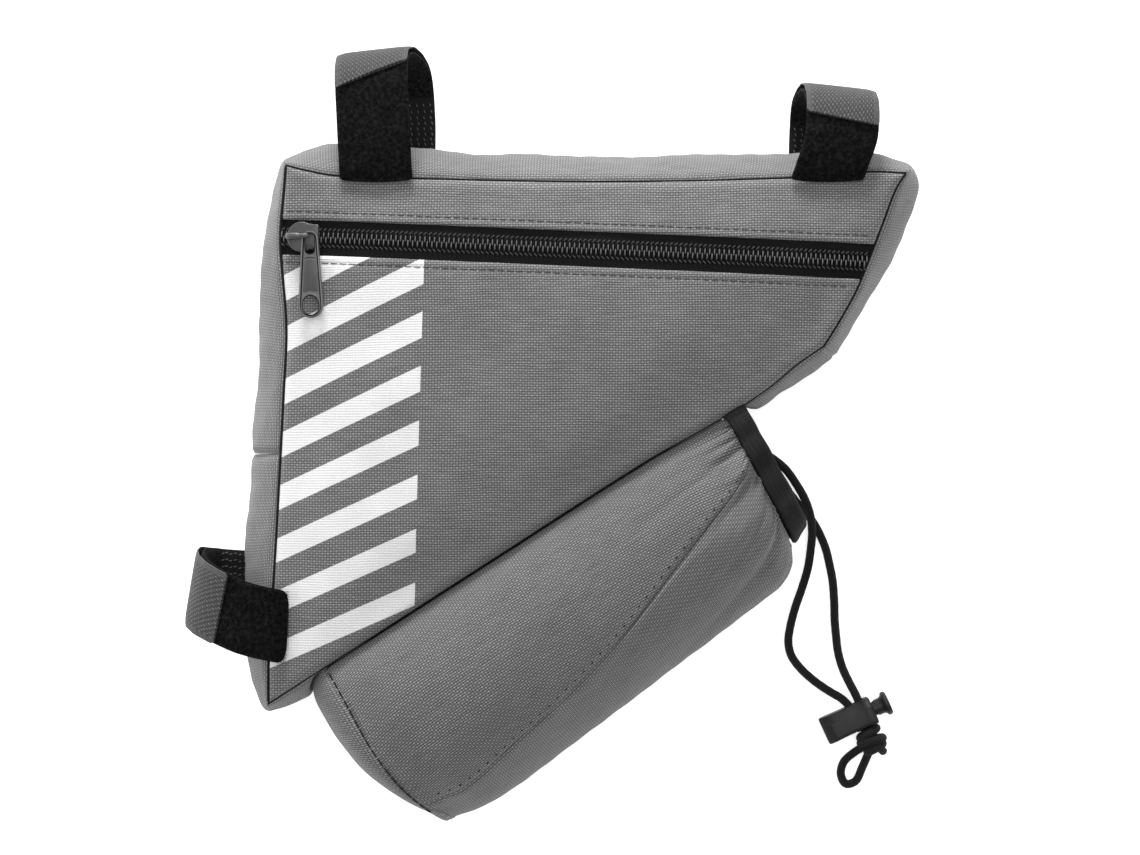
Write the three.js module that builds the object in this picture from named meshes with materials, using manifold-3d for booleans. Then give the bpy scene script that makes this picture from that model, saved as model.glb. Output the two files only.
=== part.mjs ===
// Bicycle frame bag with a bottle pouch, in millimetres.
// The bag lies on its back panel: +Z points out of the front panel, +Y to the edge that hangs under a top
// tube, and +X along that edge. The origin is on the back panel's flat face, near the main pouch's middle.
import * as THREE from 'three';
import { mergeVertices } from 'three/addons/utils/BufferGeometryUtils.js';
import Module from 'manifold-3d';

const wasm = await Module();
wasm.setup();

// Driving dimensions
const WALL = 1.8; // padded polyester of the main pouch
const SKIN = 1.3; // unpadded polyester of the bottle pouch
const GAP = 0.3; // between sewn pieces
const GUSSET_TOP = 46; // the front seam's height over the surface that the bag lies on
const CROWN = 9; // how far the stuffed front stands over its own seam
const CROWN_REACH = 24; // the distance from a seam over which the front rises
const FRONT_RIM = GUSSET_TOP + GAP + WALL;
const BACK_RIM = WALL + GAP;
const CORNER_POWER = 40; // how late along an edge the gusset's bulge gives way to the corner's own
const WELD = 1e-4; // points nearer than this are one when solids are cut or joined

// How many steps each grid has, along and across.
const STEPS = {
  lowerFront: [20, 10],
  upperFront: [20, 3],
  tape: [20, 1],
  coil: [20, 4],
  back: [10, 6],
  pouchFront: [12, 12],
  pouchSide: [12, 24],
  pouchEnd: [8, 8],
  binding: [30, 2],
  strap: [20, 2],
};

// The front seam's corners, and how far the gusset bulges out at each one.
const CORNERS = {
  topLeft: { x: -98, y: 90.5, push: { x: -3.2, y: 4.6 } },
  topRight: { x: 116, y: 87.8, push: { x: 4.4, y: 4.8 } },
  elbow: { x: 87.6, y: 28, push: { x: 5.2, y: -3.2 } },
  foot: { x: -104, y: -95.3, push: { x: -2.4, y: -4.2 } },
};

// The front seam's edges, clockwise. Each row gives, at a share t of the way, how far the seam bows out from
// the straight line between its corners and how far the gusset bulges out from the seam.
const EDGES = {
  top: {
    from: 'topLeft',
    to: 'topRight',
    rows: [
      { t: 0, bow: 0, bulge: 4.6 },
      { t: 0.03, bow: -1.6, bulge: 9.6 },
      { t: 0.08, bow: -3.4, bulge: 13.2 },
      { t: 0.25, bow: -4.1, bulge: 11.3 },
      { t: 0.5, bow: -4.3, bulge: 10.3 },
      { t: 0.8, bow: -2.3, bulge: 10.3 },
      { t: 0.94, bow: 0.3, bulge: 8.4 },
      { t: 1, bow: 0, bulge: 4.8 },
    ],
  },
  right: {
    from: 'topRight',
    to: 'elbow',
    rows: [
      { t: 0, bow: 0, bulge: 3.2 },
      { t: 0.1, bow: -0.8, bulge: 8.2 },
      { t: 0.28, bow: 0.1, bulge: 9.1 },
      { t: 0.46, bow: 1.1, bulge: 8.5 },
      { t: 0.65, bow: 1.9, bulge: 6.9 },
      { t: 0.86, bow: 1.1, bulge: 5.8 },
      { t: 1, bow: 0, bulge: 5.4 },
    ],
  },
  slope: {
    from: 'elbow',
    to: 'foot',
    rows: [
      { t: 0, bow: 0, bulge: 5.4 },
      { t: 0.05, bow: 0.3, bulge: 5.5 },
      { t: 0.1, bow: 1.8, bulge: 4.4 },
      { t: 0.138, bow: 2.2, bulge: 3.8 },
      { t: 0.15, bow: 2.2, bulge: -0.6 },
      { t: 0.22, bow: 1.6, bulge: -1.6 },
      { t: 0.32, bow: 0.2, bulge: -2.4 },
      { t: 0.6, bow: 0, bulge: -3 },
      { t: 0.82, bow: 0, bulge: -2.4 },
      { t: 0.915, bow: 0, bulge: -0.8 },
      { t: 0.93, bow: 0, bulge: 3 },
      { t: 0.98, bow: 0, bulge: 4.8 },
      { t: 1, bow: 0, bulge: 3.6 },
    ],
  },
  left: {
    from: 'foot',
    to: 'topLeft',
    rows: [
      { t: 0, bow: 0, bulge: 3.4 },
      { t: 0.06, bow: 0.4, bulge: 8.8 },
      { t: 0.3, bow: -0.8, bulge: 12.2 },
      { t: 0.57, bow: -1.8, bulge: 11.4 },
      { t: 0.7, bow: -2, bulge: 11 },
      { t: 0.86, bow: 1, bulge: 8.2 },
      { t: 0.96, bow: 0.3, bulge: 6.2 },
      { t: 1, bow: 0, bulge: 3.2 },
    ],
  },
};

// The gusset's two strips join on the left side, and the slope's gusset turns in under the pouch.
const GUSSET = {
  sideJoin: 0.465, // the share of the left edge where the strips are joined
  mouthAt: 0.15, // the share of the slope where it turns in under the pouch
  heelAt: 0.915, // where it comes out from under it again
  turn: 0.012, // the length of either turn
  profile: [
    { share: 0, out: 0 },
    { share: 0.15, out: 0.55 },
    { share: 0.5, out: 1 },
    { share: 0.85, out: 0.55 },
    { share: 1, out: 0 },
  ],
};

const ZIP = {
  left: { x: -98.4, y: 65.8 },
  right: { x: 103.8, y: 57.2 },
  exposed: 12.2, // between the two fabric edges
  tape: 10.6, // each tape's width from the middle of the coil
  tapeThickness: 1,
  tapeInset: 1, // from the gusset's inner face to the tape's end
  coilInset: 1.4,
  coilWidth: 6.2,
  coilHeight: 2,
  coilBase: 0.25, // the height of the coil's flat side
  coilFoot: 0.98, // the flat side's width as a share of the coil's
};

const SLIDER = {
  length: 11.4,
  width: 10.4,
  tailWidth: 7.8,
  plate: 1.5,
  bevel: 0.3,
  noseRound: 0.9, // the nose's rounding as a share of half the width
  noseBreadth: 0.8,
  waistAt: 0.62, // the waist's place as a share of the length
  waistWidth: 0.84, // the waist's width as a share of the width
  noseInset: 1, // from the zip's left end to the slider's nose
  flange: 0.9,
  flangeLength: 0.6, // as a share of the length
  flangeDrop: 1.5,
  buried: 0.4, // how deep the flanges and the post reach into the plate
  barHeight: 3.3, // the middle of the bridge's bar over the plate
  barRadius: 0.8,
  post: { from: 0.4, length: 1.9, width: 2.2 },
  barEnd: 8.6, // from the nose to the bar's free end
  hingeAt: 7.2, // from the nose to the middle of the pull's eye
  lip: { length: 0.8, width: 1.2, drop: 1.25, inset: 0.05 },
  pitch: THREE.MathUtils.degToRad(12), // its nose dips towards the seam, with the coil
  roll: THREE.MathUtils.degToRad(-3),
  lift: 0.35, // over the coil at the slider's middle
};

const PULL = {
  length: 29.6,
  thickness: 1.0,
  beyondBar: 2.2, // the eye's end past the bar's middle
  topWidth: 5.0,
  corner: 1.4,
  shoulder: 6.4, // width below the window
  footRadius: 4.1,
  footRise: 1.5, // from the hole's middle to where the foot's sides turn straight
  rim: 0.9, // the bar of metal at the eye's end
  window: { width: 3.6, length: 7.2, corner: 1 },
  hole: 3.1,
  aside: 0.9, // the eye's middle from the hinge's, so that one side runs under the bar
  clearance: 0.2, // under the bar
  tilt: THREE.MathUtils.degToRad(4), // it lies a little down towards the panel
};

// The bottle pouch runs along the slope from its closed end to its mouth.
const POUCH = {
  start: 26.4, // from the foot along the slope
  frontEdge: 45,
  bowReach: 30, // how far out the pouch still follows the slope seam's bow
  rowEase: 0.8, // under 1, rows stand closer together at the closed end
  endAt: -4,
  fabricEnd: 159.8,
  bindingStart: 160.6,
  bindingEnd: 167.6,
  bindingThickness: 2.4,
  bindingLift: 0.5, // over the cloth
  bindingFrom: 0.012, // the shares round the mouth where the binding starts and ends
  bindingTo: 0.985,
  dome: 10.8, // the closed end's bulge
  domeRoot: 1.6, // what of it is left beside the slope
  endHigh: 0.38, // the shares round the pouch where the closed end's outline turns down and in again
  endLow: 0.62,
  gathers: 9,
  gatherDepth: 1.2,
  gatherFrom: 134,
  seam: { from: 0.4, drop: 0.2, length: 158, power: 1.5 }, // the topstitched seam, as shares round the pouch
  seamGap: 0.0015, // half the gap between the front and side panels, as a share round the pouch
  tangentStep: 0.01,
};

// Cross-sections along the pouch: how far it reaches out from the slope's seam, how far it lies back for each
// millimetre of reach, its crown's height, the height of its outermost line and the height of its underside.
const POUCH_SECTIONS = [
  { along: -4, reach: 67.6, shear: -0.12, crown: 55, belly: 30, under: 0 },
  { along: 11, reach: 70.8, shear: -0.09, crown: 59, belly: 31, under: 0 },
  { along: 40, reach: 70.2, shear: -0.05, crown: 61, belly: 32, under: 0 },
  { along: 77, reach: 68.2, shear: -0.01, crown: 61, belly: 32, under: 0 },
  { along: 106, reach: 65.8, shear: 0.03, crown: 60, belly: 31, under: 0 },
  { along: 135, reach: 64.4, shear: 0.06, crown: 57.5, belly: 30, under: 0 },
  { along: 146, reach: 63.8, shear: 0.07, crown: 55.5, belly: 29.5, under: 1 },
  { along: 152, reach: 63, shear: 0.075, crown: 54, belly: 29.5, under: 2.4 },
  { along: 157, reach: 59.4, shear: 0.075, crown: 52, belly: 29, under: 4.6 },
  { along: 160.2, reach: 53, shear: 0.075, crown: 50.4, belly: 28.5, under: 6.2 },
  { along: 168.6, reach: 48, shear: 0.075, crown: 49.4, belly: 28, under: 7 },
];

// A pouch section's outline, as shares of its reach (u) and of the way from one of its heights to another.
const SECTION_OUTLINE = [
  { u: 0, from: 'seam', to: 'seam', share: 0 },
  { u: 0.14, from: 'seam', to: 'crown', share: 0.62 },
  { u: 0.4, from: 'seam', to: 'crown', share: 1 },
  { u: 0.76, from: 'belly', to: 'crown', share: 0.82 },
  { u: 1, from: 'belly', to: 'belly', share: 0 },
  { u: 0.9, from: 'under', to: 'belly', share: 0.33 },
  { u: 0.64, from: 'under', to: 'under', share: 0 },
  { u: 0.3, from: 'under', to: 'under', share: 0 },
  { u: 0, from: 'under', to: 'under', share: 0 },
];

// Hook-and-loop straps. Each starts at a point of the front seam, and its rows give the loop's path: out from
// the seam, up from the surface, the shift along the strap's width, and one side's lean against the other.
const STRAP = { width: 25, pileThickness: 1.8, hookThickness: 1.3, gap: 0.5 };
const STRAPS = {
  top_left_strap: {
    at: { x: -66.6, y: 86 },
    out: { x: 0, y: 1 },
    pileEnd: 0.72,
    hookStart: 0.34,
    hookCut: 0.07, // the hook end is cut on the slant
    path: [
      { out: -1.6, up: 51.2, shift: 0, lean: 0 },
      { out: 5, up: 52.2, shift: -0.4, lean: 0.6 },
      { out: 20, up: 51.4, shift: -1.2, lean: 1.6 },
      { out: 35, up: 47.4, shift: -2, lean: 2.6 },
      { out: 43.4, up: 36, shift: -1.8, lean: 2.8 },
      { out: 44.2, up: 21, shift: 1.4, lean: 2.4 },
      { out: 38.6, up: 9, shift: 4.8, lean: 1.4 },
      { out: 24, up: 5.2, shift: 6, lean: 0.8 },
      { out: 12, up: 4.4, shift: 6, lean: 0 },
      { out: 4.4, up: 4, shift: 6, lean: 0 },
    ],
  },
  top_right_strap: {
    at: { x: 88.3, y: 86 },
    out: { x: 0, y: 1 },
    pileEnd: 0.74,
    hookStart: 0.28,
    hookCut: -0.03,
    path: [
      { out: -1.6, up: 51.2, shift: 0, lean: 0 },
      { out: 4, up: 52.6, shift: 1.8, lean: -0.4 },
      { out: 14, up: 52.2, shift: 5, lean: -1.4 },
      { out: 25, up: 47.6, shift: 5.8, lean: -2.4 },
      { out: 30.8, up: 37, shift: 5.4, lean: -2.8 },
      { out: 31.4, up: 23, shift: 4.4, lean: -2.4 },
      { out: 27.6, up: 10, shift: 3, lean: -1.4 },
      { out: 19, up: 5.2, shift: 2.6, lean: -0.6 },
      { out: 10, up: 4.4, shift: 2.4, lean: 0 },
      { out: 3.7, up: 4, shift: 2.4, lean: 0 },
    ],
  },
  lower_left_strap: {
    at: { x: -102.6, y: -68 },
    out: { x: -1, y: 0 },
    pileEnd: 0.72,
    hookStart: 0.31,
    hookCut: 0.015,
    path: [
      { out: -5.6, up: 51.6, shift: -0.6, lean: -1.2 },
      { out: 0, up: 53.6, shift: 0.2, lean: -1.4 },
      { out: 11, up: 53.2, shift: 3, lean: -2.6 },
      { out: 22, up: 47.6, shift: 7.8, lean: -3.8 },
      { out: 27.6, up: 37, shift: 11.2, lean: -4.4 },
      { out: 28.2, up: 23, shift: 13.2, lean: -3.4 },
      { out: 25.4, up: 10.6, shift: 12.8, lean: -1.6 },
      { out: 19.6, up: 5.4, shift: 12, lean: -0.6 },
      { out: 11, up: 4.4, shift: 11.4, lean: 0 },
      { out: 2.6, up: 4, shift: 11, lean: 0 },
    ],
  },
};

// The elastic cord's two strands, from the mouth's binding through the lock to the knot.
const CORD = { diameter: 3, sides: 8, step: 7 };
const STRAND_ROUTES = {
  cord_front_strand: [
    [74, -12.4, 8.6],
    [77, -15.1, 8],
    [80.6, -20.1, 7.4],
    [83.9, -25.9, 6.6],
    [85.8, -31.6, 6],
    [86.5, -37.4, 4.4],
    [86.2, -43.1, 2.6],
    [85.2, -50.3, 1.6],
    [83.1, -57.5, 1.5],
    [80.6, -64.7, 1.5],
    [78.8, -71.8, 1.5],
    [78.2, -76.8, 1.5],
    [79.2, -81.5, 1.5],
    [82.4, -86.1, 1.5],
    [87.8, -90.4, 1.7],
    [93.8, -94, 2.8],
    [98.4, -95.6, 4.2],
    [99.8, -98.5, 4.6],
    [102, -103.4, 4.6],
    [104.2, -108.2, 4.6],
  ],
  cord_back_strand: [
    [79, -24.4, 8.4],
    [80.8, -26.6, 6],
    [83.6, -29.8, 2.6],
    [86.3, -32.8, 1.6],
    [88.8, -36.9, 1.5],
    [91.5, -43.2, 1.5],
    [92.9, -48.9, 1.5],
    [94, -54.6, 1.5],
    [94.6, -61.8, 1.5],
    [94.8, -68.9, 1.5],
    [95.3, -74.7, 1.5],
    [96, -80.4, 1.5],
    [97.6, -86.1, 1.6],
    [100, -91.4, 3],
    [101.7, -94.7, 4.3],
    [102.8, -97.1, 4.6],
    [105, -102, 4.6],
    [107.2, -106.8, 4.6],
  ],
};

const LOCK = {
  end: { x: 90.7, y: -108.7 }, // the middle of its closed end
  edge: 0.6, // the round at either end
  overcut: 5, // how far the bore's tool runs on past the end
  turn: THREE.MathUtils.degToRad(24.7),
  length: 19.4,
  width: 10,
  height: 9.2,
  bevel: 1.4,
  holeAt: 14.2, // from the closed end to the cords' hole
  holeLength: 6.9,
  holeHeight: 3.7,
  boreRadius: 3.3,
  boreDepth: 15.2,
  travel: 3,
};
LOCK.mid = LOCK.height / 2;

const BUTTON = {
  shank: 2.95,
  shankIn: 11.4,
  neckOut: 4.2,
  neckFlare: 0.6, // the length over which the neck opens out into the head
  headRadius: 4.4,
  headRound: 0.5,
  headThickness: 1.9,
  faceRound: 0.4,
  rimInset: 1.2, // from the head's edge to its dish
  rimDepth: 0.7,
};

const KNOT = {
  at: { x: 107.6, y: -111.4 },
  wraps: [
    { back: 2.5, radius: 3.3 },
    { back: -0.4, radius: 3.9 },
    { back: -3.3, radius: 3 },
  ],
  swell: 0.15, // how much fatter a wrap is than the cord
  flat: 0.82, // a wrap's height as a share of its width
  core: 3.2,
  coreLength: 7.6,
  coreFlat: 0.86,
  loopDrop: 0.4, // under 1, the loop comes down to the surface sooner
  loopLift: 0.05,
  loop: [
    { x: 106.4, y: -113.2 },
    { x: 101.8, y: -116.2 },
    { x: 98, y: -119.8 },
    { x: 97, y: -124.2 },
    { x: 98.8, y: -127.6 },
    { x: 102.2, y: -126.6 },
    { x: 104.6, y: -121.6 },
    { x: 107.2, y: -115 },
  ],
};

const COLOURS = {
  polyester: { color: 0x6f6f6f, roughness: 0.85, metalness: 0 },
  zipTape: { color: 0x1c1c1c, roughness: 0.8, metalness: 0 },
  zipCoil: { color: 0x141414, roughness: 0.45, metalness: 0 },
  zipMetal: { color: 0x5e5e5e, roughness: 0.45, metalness: 0.6 },
  pile: { color: 0x141414, roughness: 1, metalness: 0 },
  hook: { color: 0x4c4c4c, roughness: 0.75, metalness: 0 },
  binding: { color: 0x161616, roughness: 0.85, metalness: 0 },
  cord: { color: 0x141414, roughness: 0.7, metalness: 0 },
  lock: { color: 0x303030, roughness: 0.5, metalness: 0 },
};

const lerp = THREE.MathUtils.lerp;
const smoothstep = THREE.MathUtils.smoothstep;
const clamp = THREE.MathUtils.clamp;

// A column of a table at a place between its rows, through a smooth curve.
function valueAt(rows, by, key, at) {
  const next = clamp(rows.findIndex((row) => row[by] > at), 1, rows.length - 1);
  const i = at >= rows[rows.length - 1][by] ? rows.length - 1 : next;
  const [a, b] = [rows[i - 1], rows[i]];
  const [before, after] = [rows[i - 2] ?? a, rows[i + 1] ?? b];
  const span = b[by] - a[by];
  const t = clamp((at - a[by]) / span, 0, 1);
  const slopeA = ((b[key] - before[key]) / (b[by] - before[by])) * span;
  const slopeB = ((after[key] - a[key]) / (after[by] - a[by])) * span;
  return (
    (2 * t ** 3 - 3 * t ** 2 + 1) * a[key] +
    (t ** 3 - 2 * t ** 2 + t) * slopeA +
    (3 * t ** 2 - 2 * t ** 3) * b[key] +
    (t ** 3 - t ** 2) * slopeB
  );
}

// Builders for walls and tubes

// A closed wall between two grids of points of one size.
function wallBetween(outer, inner) {
  const rows = outer.length;
  const columns = outer[0].length;
  const index = [];
  const at = (layer, i, j) => (layer * rows + i) * columns + j;
  const quad = (a, b, c, d) => index.push(a, b, c, a, c, d);
  for (let i = 0; i < rows - 1; i++) {
    for (let j = 0; j < columns - 1; j++) {
      quad(at(0, i, j), at(0, i + 1, j), at(0, i + 1, j + 1), at(0, i, j + 1));
      quad(at(1, i, j), at(1, i, j + 1), at(1, i + 1, j + 1), at(1, i + 1, j));
    }
    quad(at(0, i + 1, 0), at(0, i, 0), at(1, i, 0), at(1, i + 1, 0));
    const last = columns - 1;
    quad(at(0, i, last), at(0, i + 1, last), at(1, i + 1, last), at(1, i, last));
  }
  for (let j = 0; j < columns - 1; j++) {
    quad(at(0, 0, j), at(0, 0, j + 1), at(1, 0, j + 1), at(1, 0, j));
    const last = rows - 1;
    quad(at(0, last, j + 1), at(0, last, j), at(1, last, j), at(1, last, j + 1));
  }
  const points = [...outer.flat(), ...inner.flat()];
  return facingOut(points, index);
}

// A geometry of these points and triangles, turned so that its faces point out.
function facingOut(points, index) {
  let volume = 0;
  for (let i = 0; i < index.length; i += 3) {
    const [a, b, c] = [points[index[i]], points[index[i + 1]], points[index[i + 2]]];
    volume += a.dot(new THREE.Vector3().crossVectors(b, c));
  }
  if (volume < 0) index.reverse();
  const geometry = new THREE.BufferGeometry().setFromPoints(points);
  geometry.setIndex(index);
  geometry.computeVertexNormals();
  return geometry;
}

const shares = (count) => Array.from({ length: count + 1 }, (_, i) => i / count);

// A wall whose outer face is surface(u, v), thick towards `inward(u, v)`.
function sheet(surface, rows, columns, thickness, inward) {
  const outer = shares(rows).map((u) => shares(columns).map((v) => surface(u, v)));
  const inner = shares(rows).map((u, i) =>
    shares(columns).map((v, j) => outer[i][j].clone().addScaledVector(inward(u, v), thickness)),
  );
  return wallBetween(outer, inner);
}

// The unit normal of surface(u, v), on the side that `side` says.
function normalOf(surface, side = 1) {
  const small = 1e-3;
  return (u, v) => {
    const u0 = clamp(u, small, 1 - small);
    const v0 = clamp(v, small, 1 - small);
    const along = surface(u0 + small, v0).sub(surface(u0 - small, v0));
    const across = surface(u0, v0 + small).sub(surface(u0, v0 - small));
    return along.cross(across).normalize().multiplyScalar(side);
  };
}

// A patch that fills four boundary curves, each a function of 0..1: bottom and top run left to right, and left
// and right run bottom to top.
function coons(bottom, top, left, right) {
  return (u, v) => {
    const x = {};
    for (const k of ['x', 'y']) {
      const ruled = lerp(bottom(u)[k], top(u)[k], v) + lerp(left(v)[k], right(v)[k], u);
      const corners = lerp(lerp(bottom(0)[k], bottom(1)[k], u), lerp(top(0)[k], top(1)[k], u), v);
      x[k] = ruled - corners;
    }
    return x;
  };
}

function tube(points, diameter, step, sides) {
  const path = new THREE.CatmullRomCurve3(points, false, 'centripetal');
  const round = new THREE.Shape(
    Array.from({ length: sides }, (_, i) => {
      const angle = (i / sides) * Math.PI * 2;
      return new THREE.Vector2(Math.cos(angle), Math.sin(angle)).multiplyScalar(diameter / 2);
    }),
  );
  const steps = Math.max(4, Math.round(path.getLength() / step));
  return new THREE.ExtrudeGeometry(round, { steps, extrudePath: path, bevelEnabled: false });
}

// Joining and cutting

function solidOf(geometry) {
  const bare = geometry.index ? geometry.toNonIndexed() : geometry.clone();
  for (const name of Object.keys(bare.attributes)) if (name !== 'position') bare.deleteAttribute(name);
  const merged = mergeVertices(bare, WELD);
  return new wasm.Manifold(
    new wasm.Mesh({
      numProp: 3,
      vertProperties: new Float32Array(merged.attributes.position.array),
      triVerts: new Uint32Array(merged.index.array),
    }),
  );
}

function geometryOf(solid) {
  const made = solid.getMesh();
  const geometry = new THREE.BufferGeometry();
  geometry.setAttribute('position', new THREE.BufferAttribute(new Float32Array(made.vertProperties), 3));
  geometry.setIndex(new THREE.BufferAttribute(new Uint32Array(made.triVerts), 1));
  geometry.computeVertexNormals();
  return geometry;
}

const joined = (...geometries) => geometryOf(geometries.map(solidOf).reduce((a, b) => a.add(b)));
const cut = (geometry, ...tools) =>
  geometryOf(tools.map(solidOf).reduce((a, b) => a.subtract(b), solidOf(geometry)));

// The main pouch's seam

const edgeFrame = (name) => {
  const edge = EDGES[name];
  const from = CORNERS[edge.from];
  const to = CORNERS[edge.to];
  const length = Math.hypot(to.x - from.x, to.y - from.y);
  const dir = { x: (to.x - from.x) / length, y: (to.y - from.y) / length };
  return { ...edge, from, to, length, dir, normal: { x: -dir.y, y: dir.x } };
};
const FRAMES = Object.fromEntries(Object.keys(EDGES).map((name) => [name, edgeFrame(name)]));

// The vector that moves a corner out by one millimetre from both its edges.
function miter(corner) {
  const [a, b] = Object.values(FRAMES)
    .filter((edge) => edge.from === corner || edge.to === corner)
    .map((edge) => edge.normal);
  const share = 1 / (1 + a.x * b.x + a.y * b.y);
  return { x: (a.x + b.x) * share, y: (a.y + b.y) * share };
}
for (const corner of Object.values(CORNERS)) corner.miter = miter(corner);

const bowAt = (name, t) => valueAt(EDGES[name].rows, 't', 'bow', t);
const bulgeAt = (name, t) => valueAt(EDGES[name].rows, 't', 'bulge', t);

// A point of an edge, moved out from the seam by `out`, and by a share of the gusset's bulge.
function seamPoint(name, t, out = 0, bulged = 0) {
  const { from, to, normal } = FRAMES[name];
  const along = (a, b) => a.x * b.x + a.y * b.y;
  const ends = lerp(along(from.push, normal), along(to.push, normal), t);
  const bow = bowAt(name, t) + bulged * (bulgeAt(name, t) - ends) * (1 - Math.abs(2 * t - 1) ** CORNER_POWER);
  const place = (k) => {
    const corner = (c) => c[k] + out * c.miter[k] + bulged * c.push[k];
    return lerp(corner(from), corner(to), t) + normal[k] * bow;
  };
  return { x: place('x'), y: place('y') };
}

// The front's height at a place: it rises from the seams to the crown.
function frontHeight({ x, y }) {
  let rise = 1;
  for (const [name, { from, normal, dir, length }] of Object.entries(FRAMES)) {
    const t = clamp(((x - from.x) * dir.x + (y - from.y) * dir.y) / length, 0, 1);
    const inside = bowAt(name, t) - ((x - from.x) * normal.x + (y - from.y) * normal.y);
    rise *= Math.tanh(Math.max(0, inside) / CROWN_REACH);
  }
  return FRONT_RIM + CROWN * rise;
}

const DOWN = new THREE.Vector3(0, 0, -1);

// A wall of the front between four boundary curves, `drop` under the front's surface.
function frontWall(patch, [columns, rows], thickness, drop = 0) {
  const surface = (u, v) => {
    const at = patch(u, v);
    return new THREE.Vector3(at.x, at.y, frontHeight(at) - drop);
  };
  return sheet(surface, columns, rows, thickness, () => DOWN);
}

// The point where the left or right seam meets the line that runs `above` the zip's middle.
function zipEnd(side, above) {
  const y = ZIP[side].y + above;
  const halvings = 30;
  let low = 0;
  let high = 1;
  for (let i = 0; i < halvings; i++) {
    const t = (low + high) / 2;
    const higher = seamPoint(side, t).y > y;
    if (higher === (side === 'right')) low = t;
    else high = t;
  }
  return (low + high) / 2;
}

function zipLine(above, inset = 0) {
  const left = seamPoint('left', zipEnd('left', above));
  const right = seamPoint('right', zipEnd('right', above));
  return (u) => ({ x: lerp(left.x + inset, right.x - inset, u), y: lerp(left.y, right.y, u) });
}

const half = ZIP.exposed / 2;

function frontLowerPanel() {
  const leftEnd = zipEnd('left', -half);
  const rightEnd = zipEnd('right', -half);
  const patch = coons(
    (u) => seamPoint('slope', 1 - u),
    zipLine(-half),
    (v) => seamPoint('left', v * leftEnd),
    (v) => seamPoint('right', 1 - v * (1 - rightEnd)),
  );
  return frontWall(patch, STEPS.lowerFront, WALL);
}

function frontUpperPanel() {
  const leftEnd = zipEnd('left', half);
  const rightEnd = zipEnd('right', half);
  const patch = coons(
    zipLine(half),
    (u) => seamPoint('top', u),
    (v) => seamPoint('left', lerp(leftEnd, 1, v)),
    (v) => seamPoint('right', lerp(rightEnd, 0, v)),
  );
  return frontWall(patch, STEPS.upperFront, WALL);
}

function zipTape(side) {
  const inset = WALL + GAP + ZIP.tapeInset;
  const inner = zipLine((side * GAP) / 2, inset);
  const outer = zipLine(side * ZIP.tape, inset);
  const patch = (u, v) => ({ x: lerp(inner(u).x, outer(u).x, v), y: lerp(inner(u).y, outer(u).y, v) });
  return frontWall(patch, STEPS.tape, ZIP.tapeThickness, WALL + GAP);
}

function zipCoil() {
  const middle = zipLine(0, WALL + GAP + ZIP.coilInset);
  const [along, round] = STEPS.coil;
  const profile = shares(round).map((s) => {
    const angle = Math.PI * s;
    return { across: (-Math.cos(angle) * ZIP.coilWidth) / 2, up: Math.sin(angle) * ZIP.coilHeight };
  });
  const ring = (u, up, across) => {
    const at = middle(u);
    at.y += across;
    return new THREE.Vector3(at.x, at.y, frontHeight(at) - WALL + up);
  };
  const outer = shares(along).map((u) => profile.map((p) => ring(u, p.up + ZIP.coilBase, p.across)));
  const inner = shares(along).map((u) => profile.map((p) => ring(u, 0, p.across * ZIP.coilFoot)));
  return wallBetween(outer, inner);
}

function gusset(spans) {
  const grid = (inset) =>
    spans.flatMap(({ edge, from, to, steps, last }) =>
      shares(steps)
        .slice(0, last ? undefined : -1)
        .map((s) => {
          const t = lerp(from, to, s);
          return GUSSET.profile.map((h) => {
            const at = seamPoint(edge, t, -inset, h.out);
            return new THREE.Vector3(at.x, at.y, lerp(GUSSET_TOP, BACK_RIM, h.share));
          });
        }),
    );
  return wallBetween(grid(0), grid(WALL));
}

const joinGap = (edge) => GAP / 2 / FRAMES[edge].length;

const gussetUpper = () =>
  gusset([
    { edge: 'left', from: GUSSET.sideJoin + joinGap('left'), to: 1, steps: 7 },
    { edge: 'top', from: 0, to: 1, steps: 14 },
    { edge: 'right', from: 0, to: 1 - joinGap('right'), steps: 7, last: true },
  ]);

const gussetLower = () =>
  gusset([
    { edge: 'slope', from: joinGap('slope'), to: GUSSET.mouthAt - GUSSET.turn, steps: 5 },
    { edge: 'slope', from: GUSSET.mouthAt - GUSSET.turn, to: GUSSET.mouthAt, steps: 1 },
    { edge: 'slope', from: GUSSET.mouthAt, to: GUSSET.heelAt, steps: 14 },
    { edge: 'slope', from: GUSSET.heelAt, to: GUSSET.heelAt + GUSSET.turn, steps: 1 },
    { edge: 'slope', from: GUSSET.heelAt + GUSSET.turn, to: 1, steps: 3 },
    { edge: 'left', from: 0, to: GUSSET.sideJoin - joinGap('left'), steps: 7, last: true },
  ]);

function backPanel() {
  const patch = coons(
    (u) => seamPoint('slope', 1 - u),
    (u) => seamPoint('top', u),
    (v) => seamPoint('left', v),
    (v) => seamPoint('right', 1 - v),
  );
  const surface = (u, v) => {
    const at = patch(u, v);
    return new THREE.Vector3(at.x, at.y, WALL);
  };
  return sheet(surface, ...STEPS.back, WALL, () => DOWN);
}

// The bottle pouch

function sectionAt(along) {
  const section = { seam: POUCH.frontEdge };
  for (const key of ['reach', 'crown', 'belly', 'under']) {
    section[key] = valueAt(POUCH_SECTIONS, 'along', key, along);
  }
  section.under = Math.max(0, section.under);
  return section;
}

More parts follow.
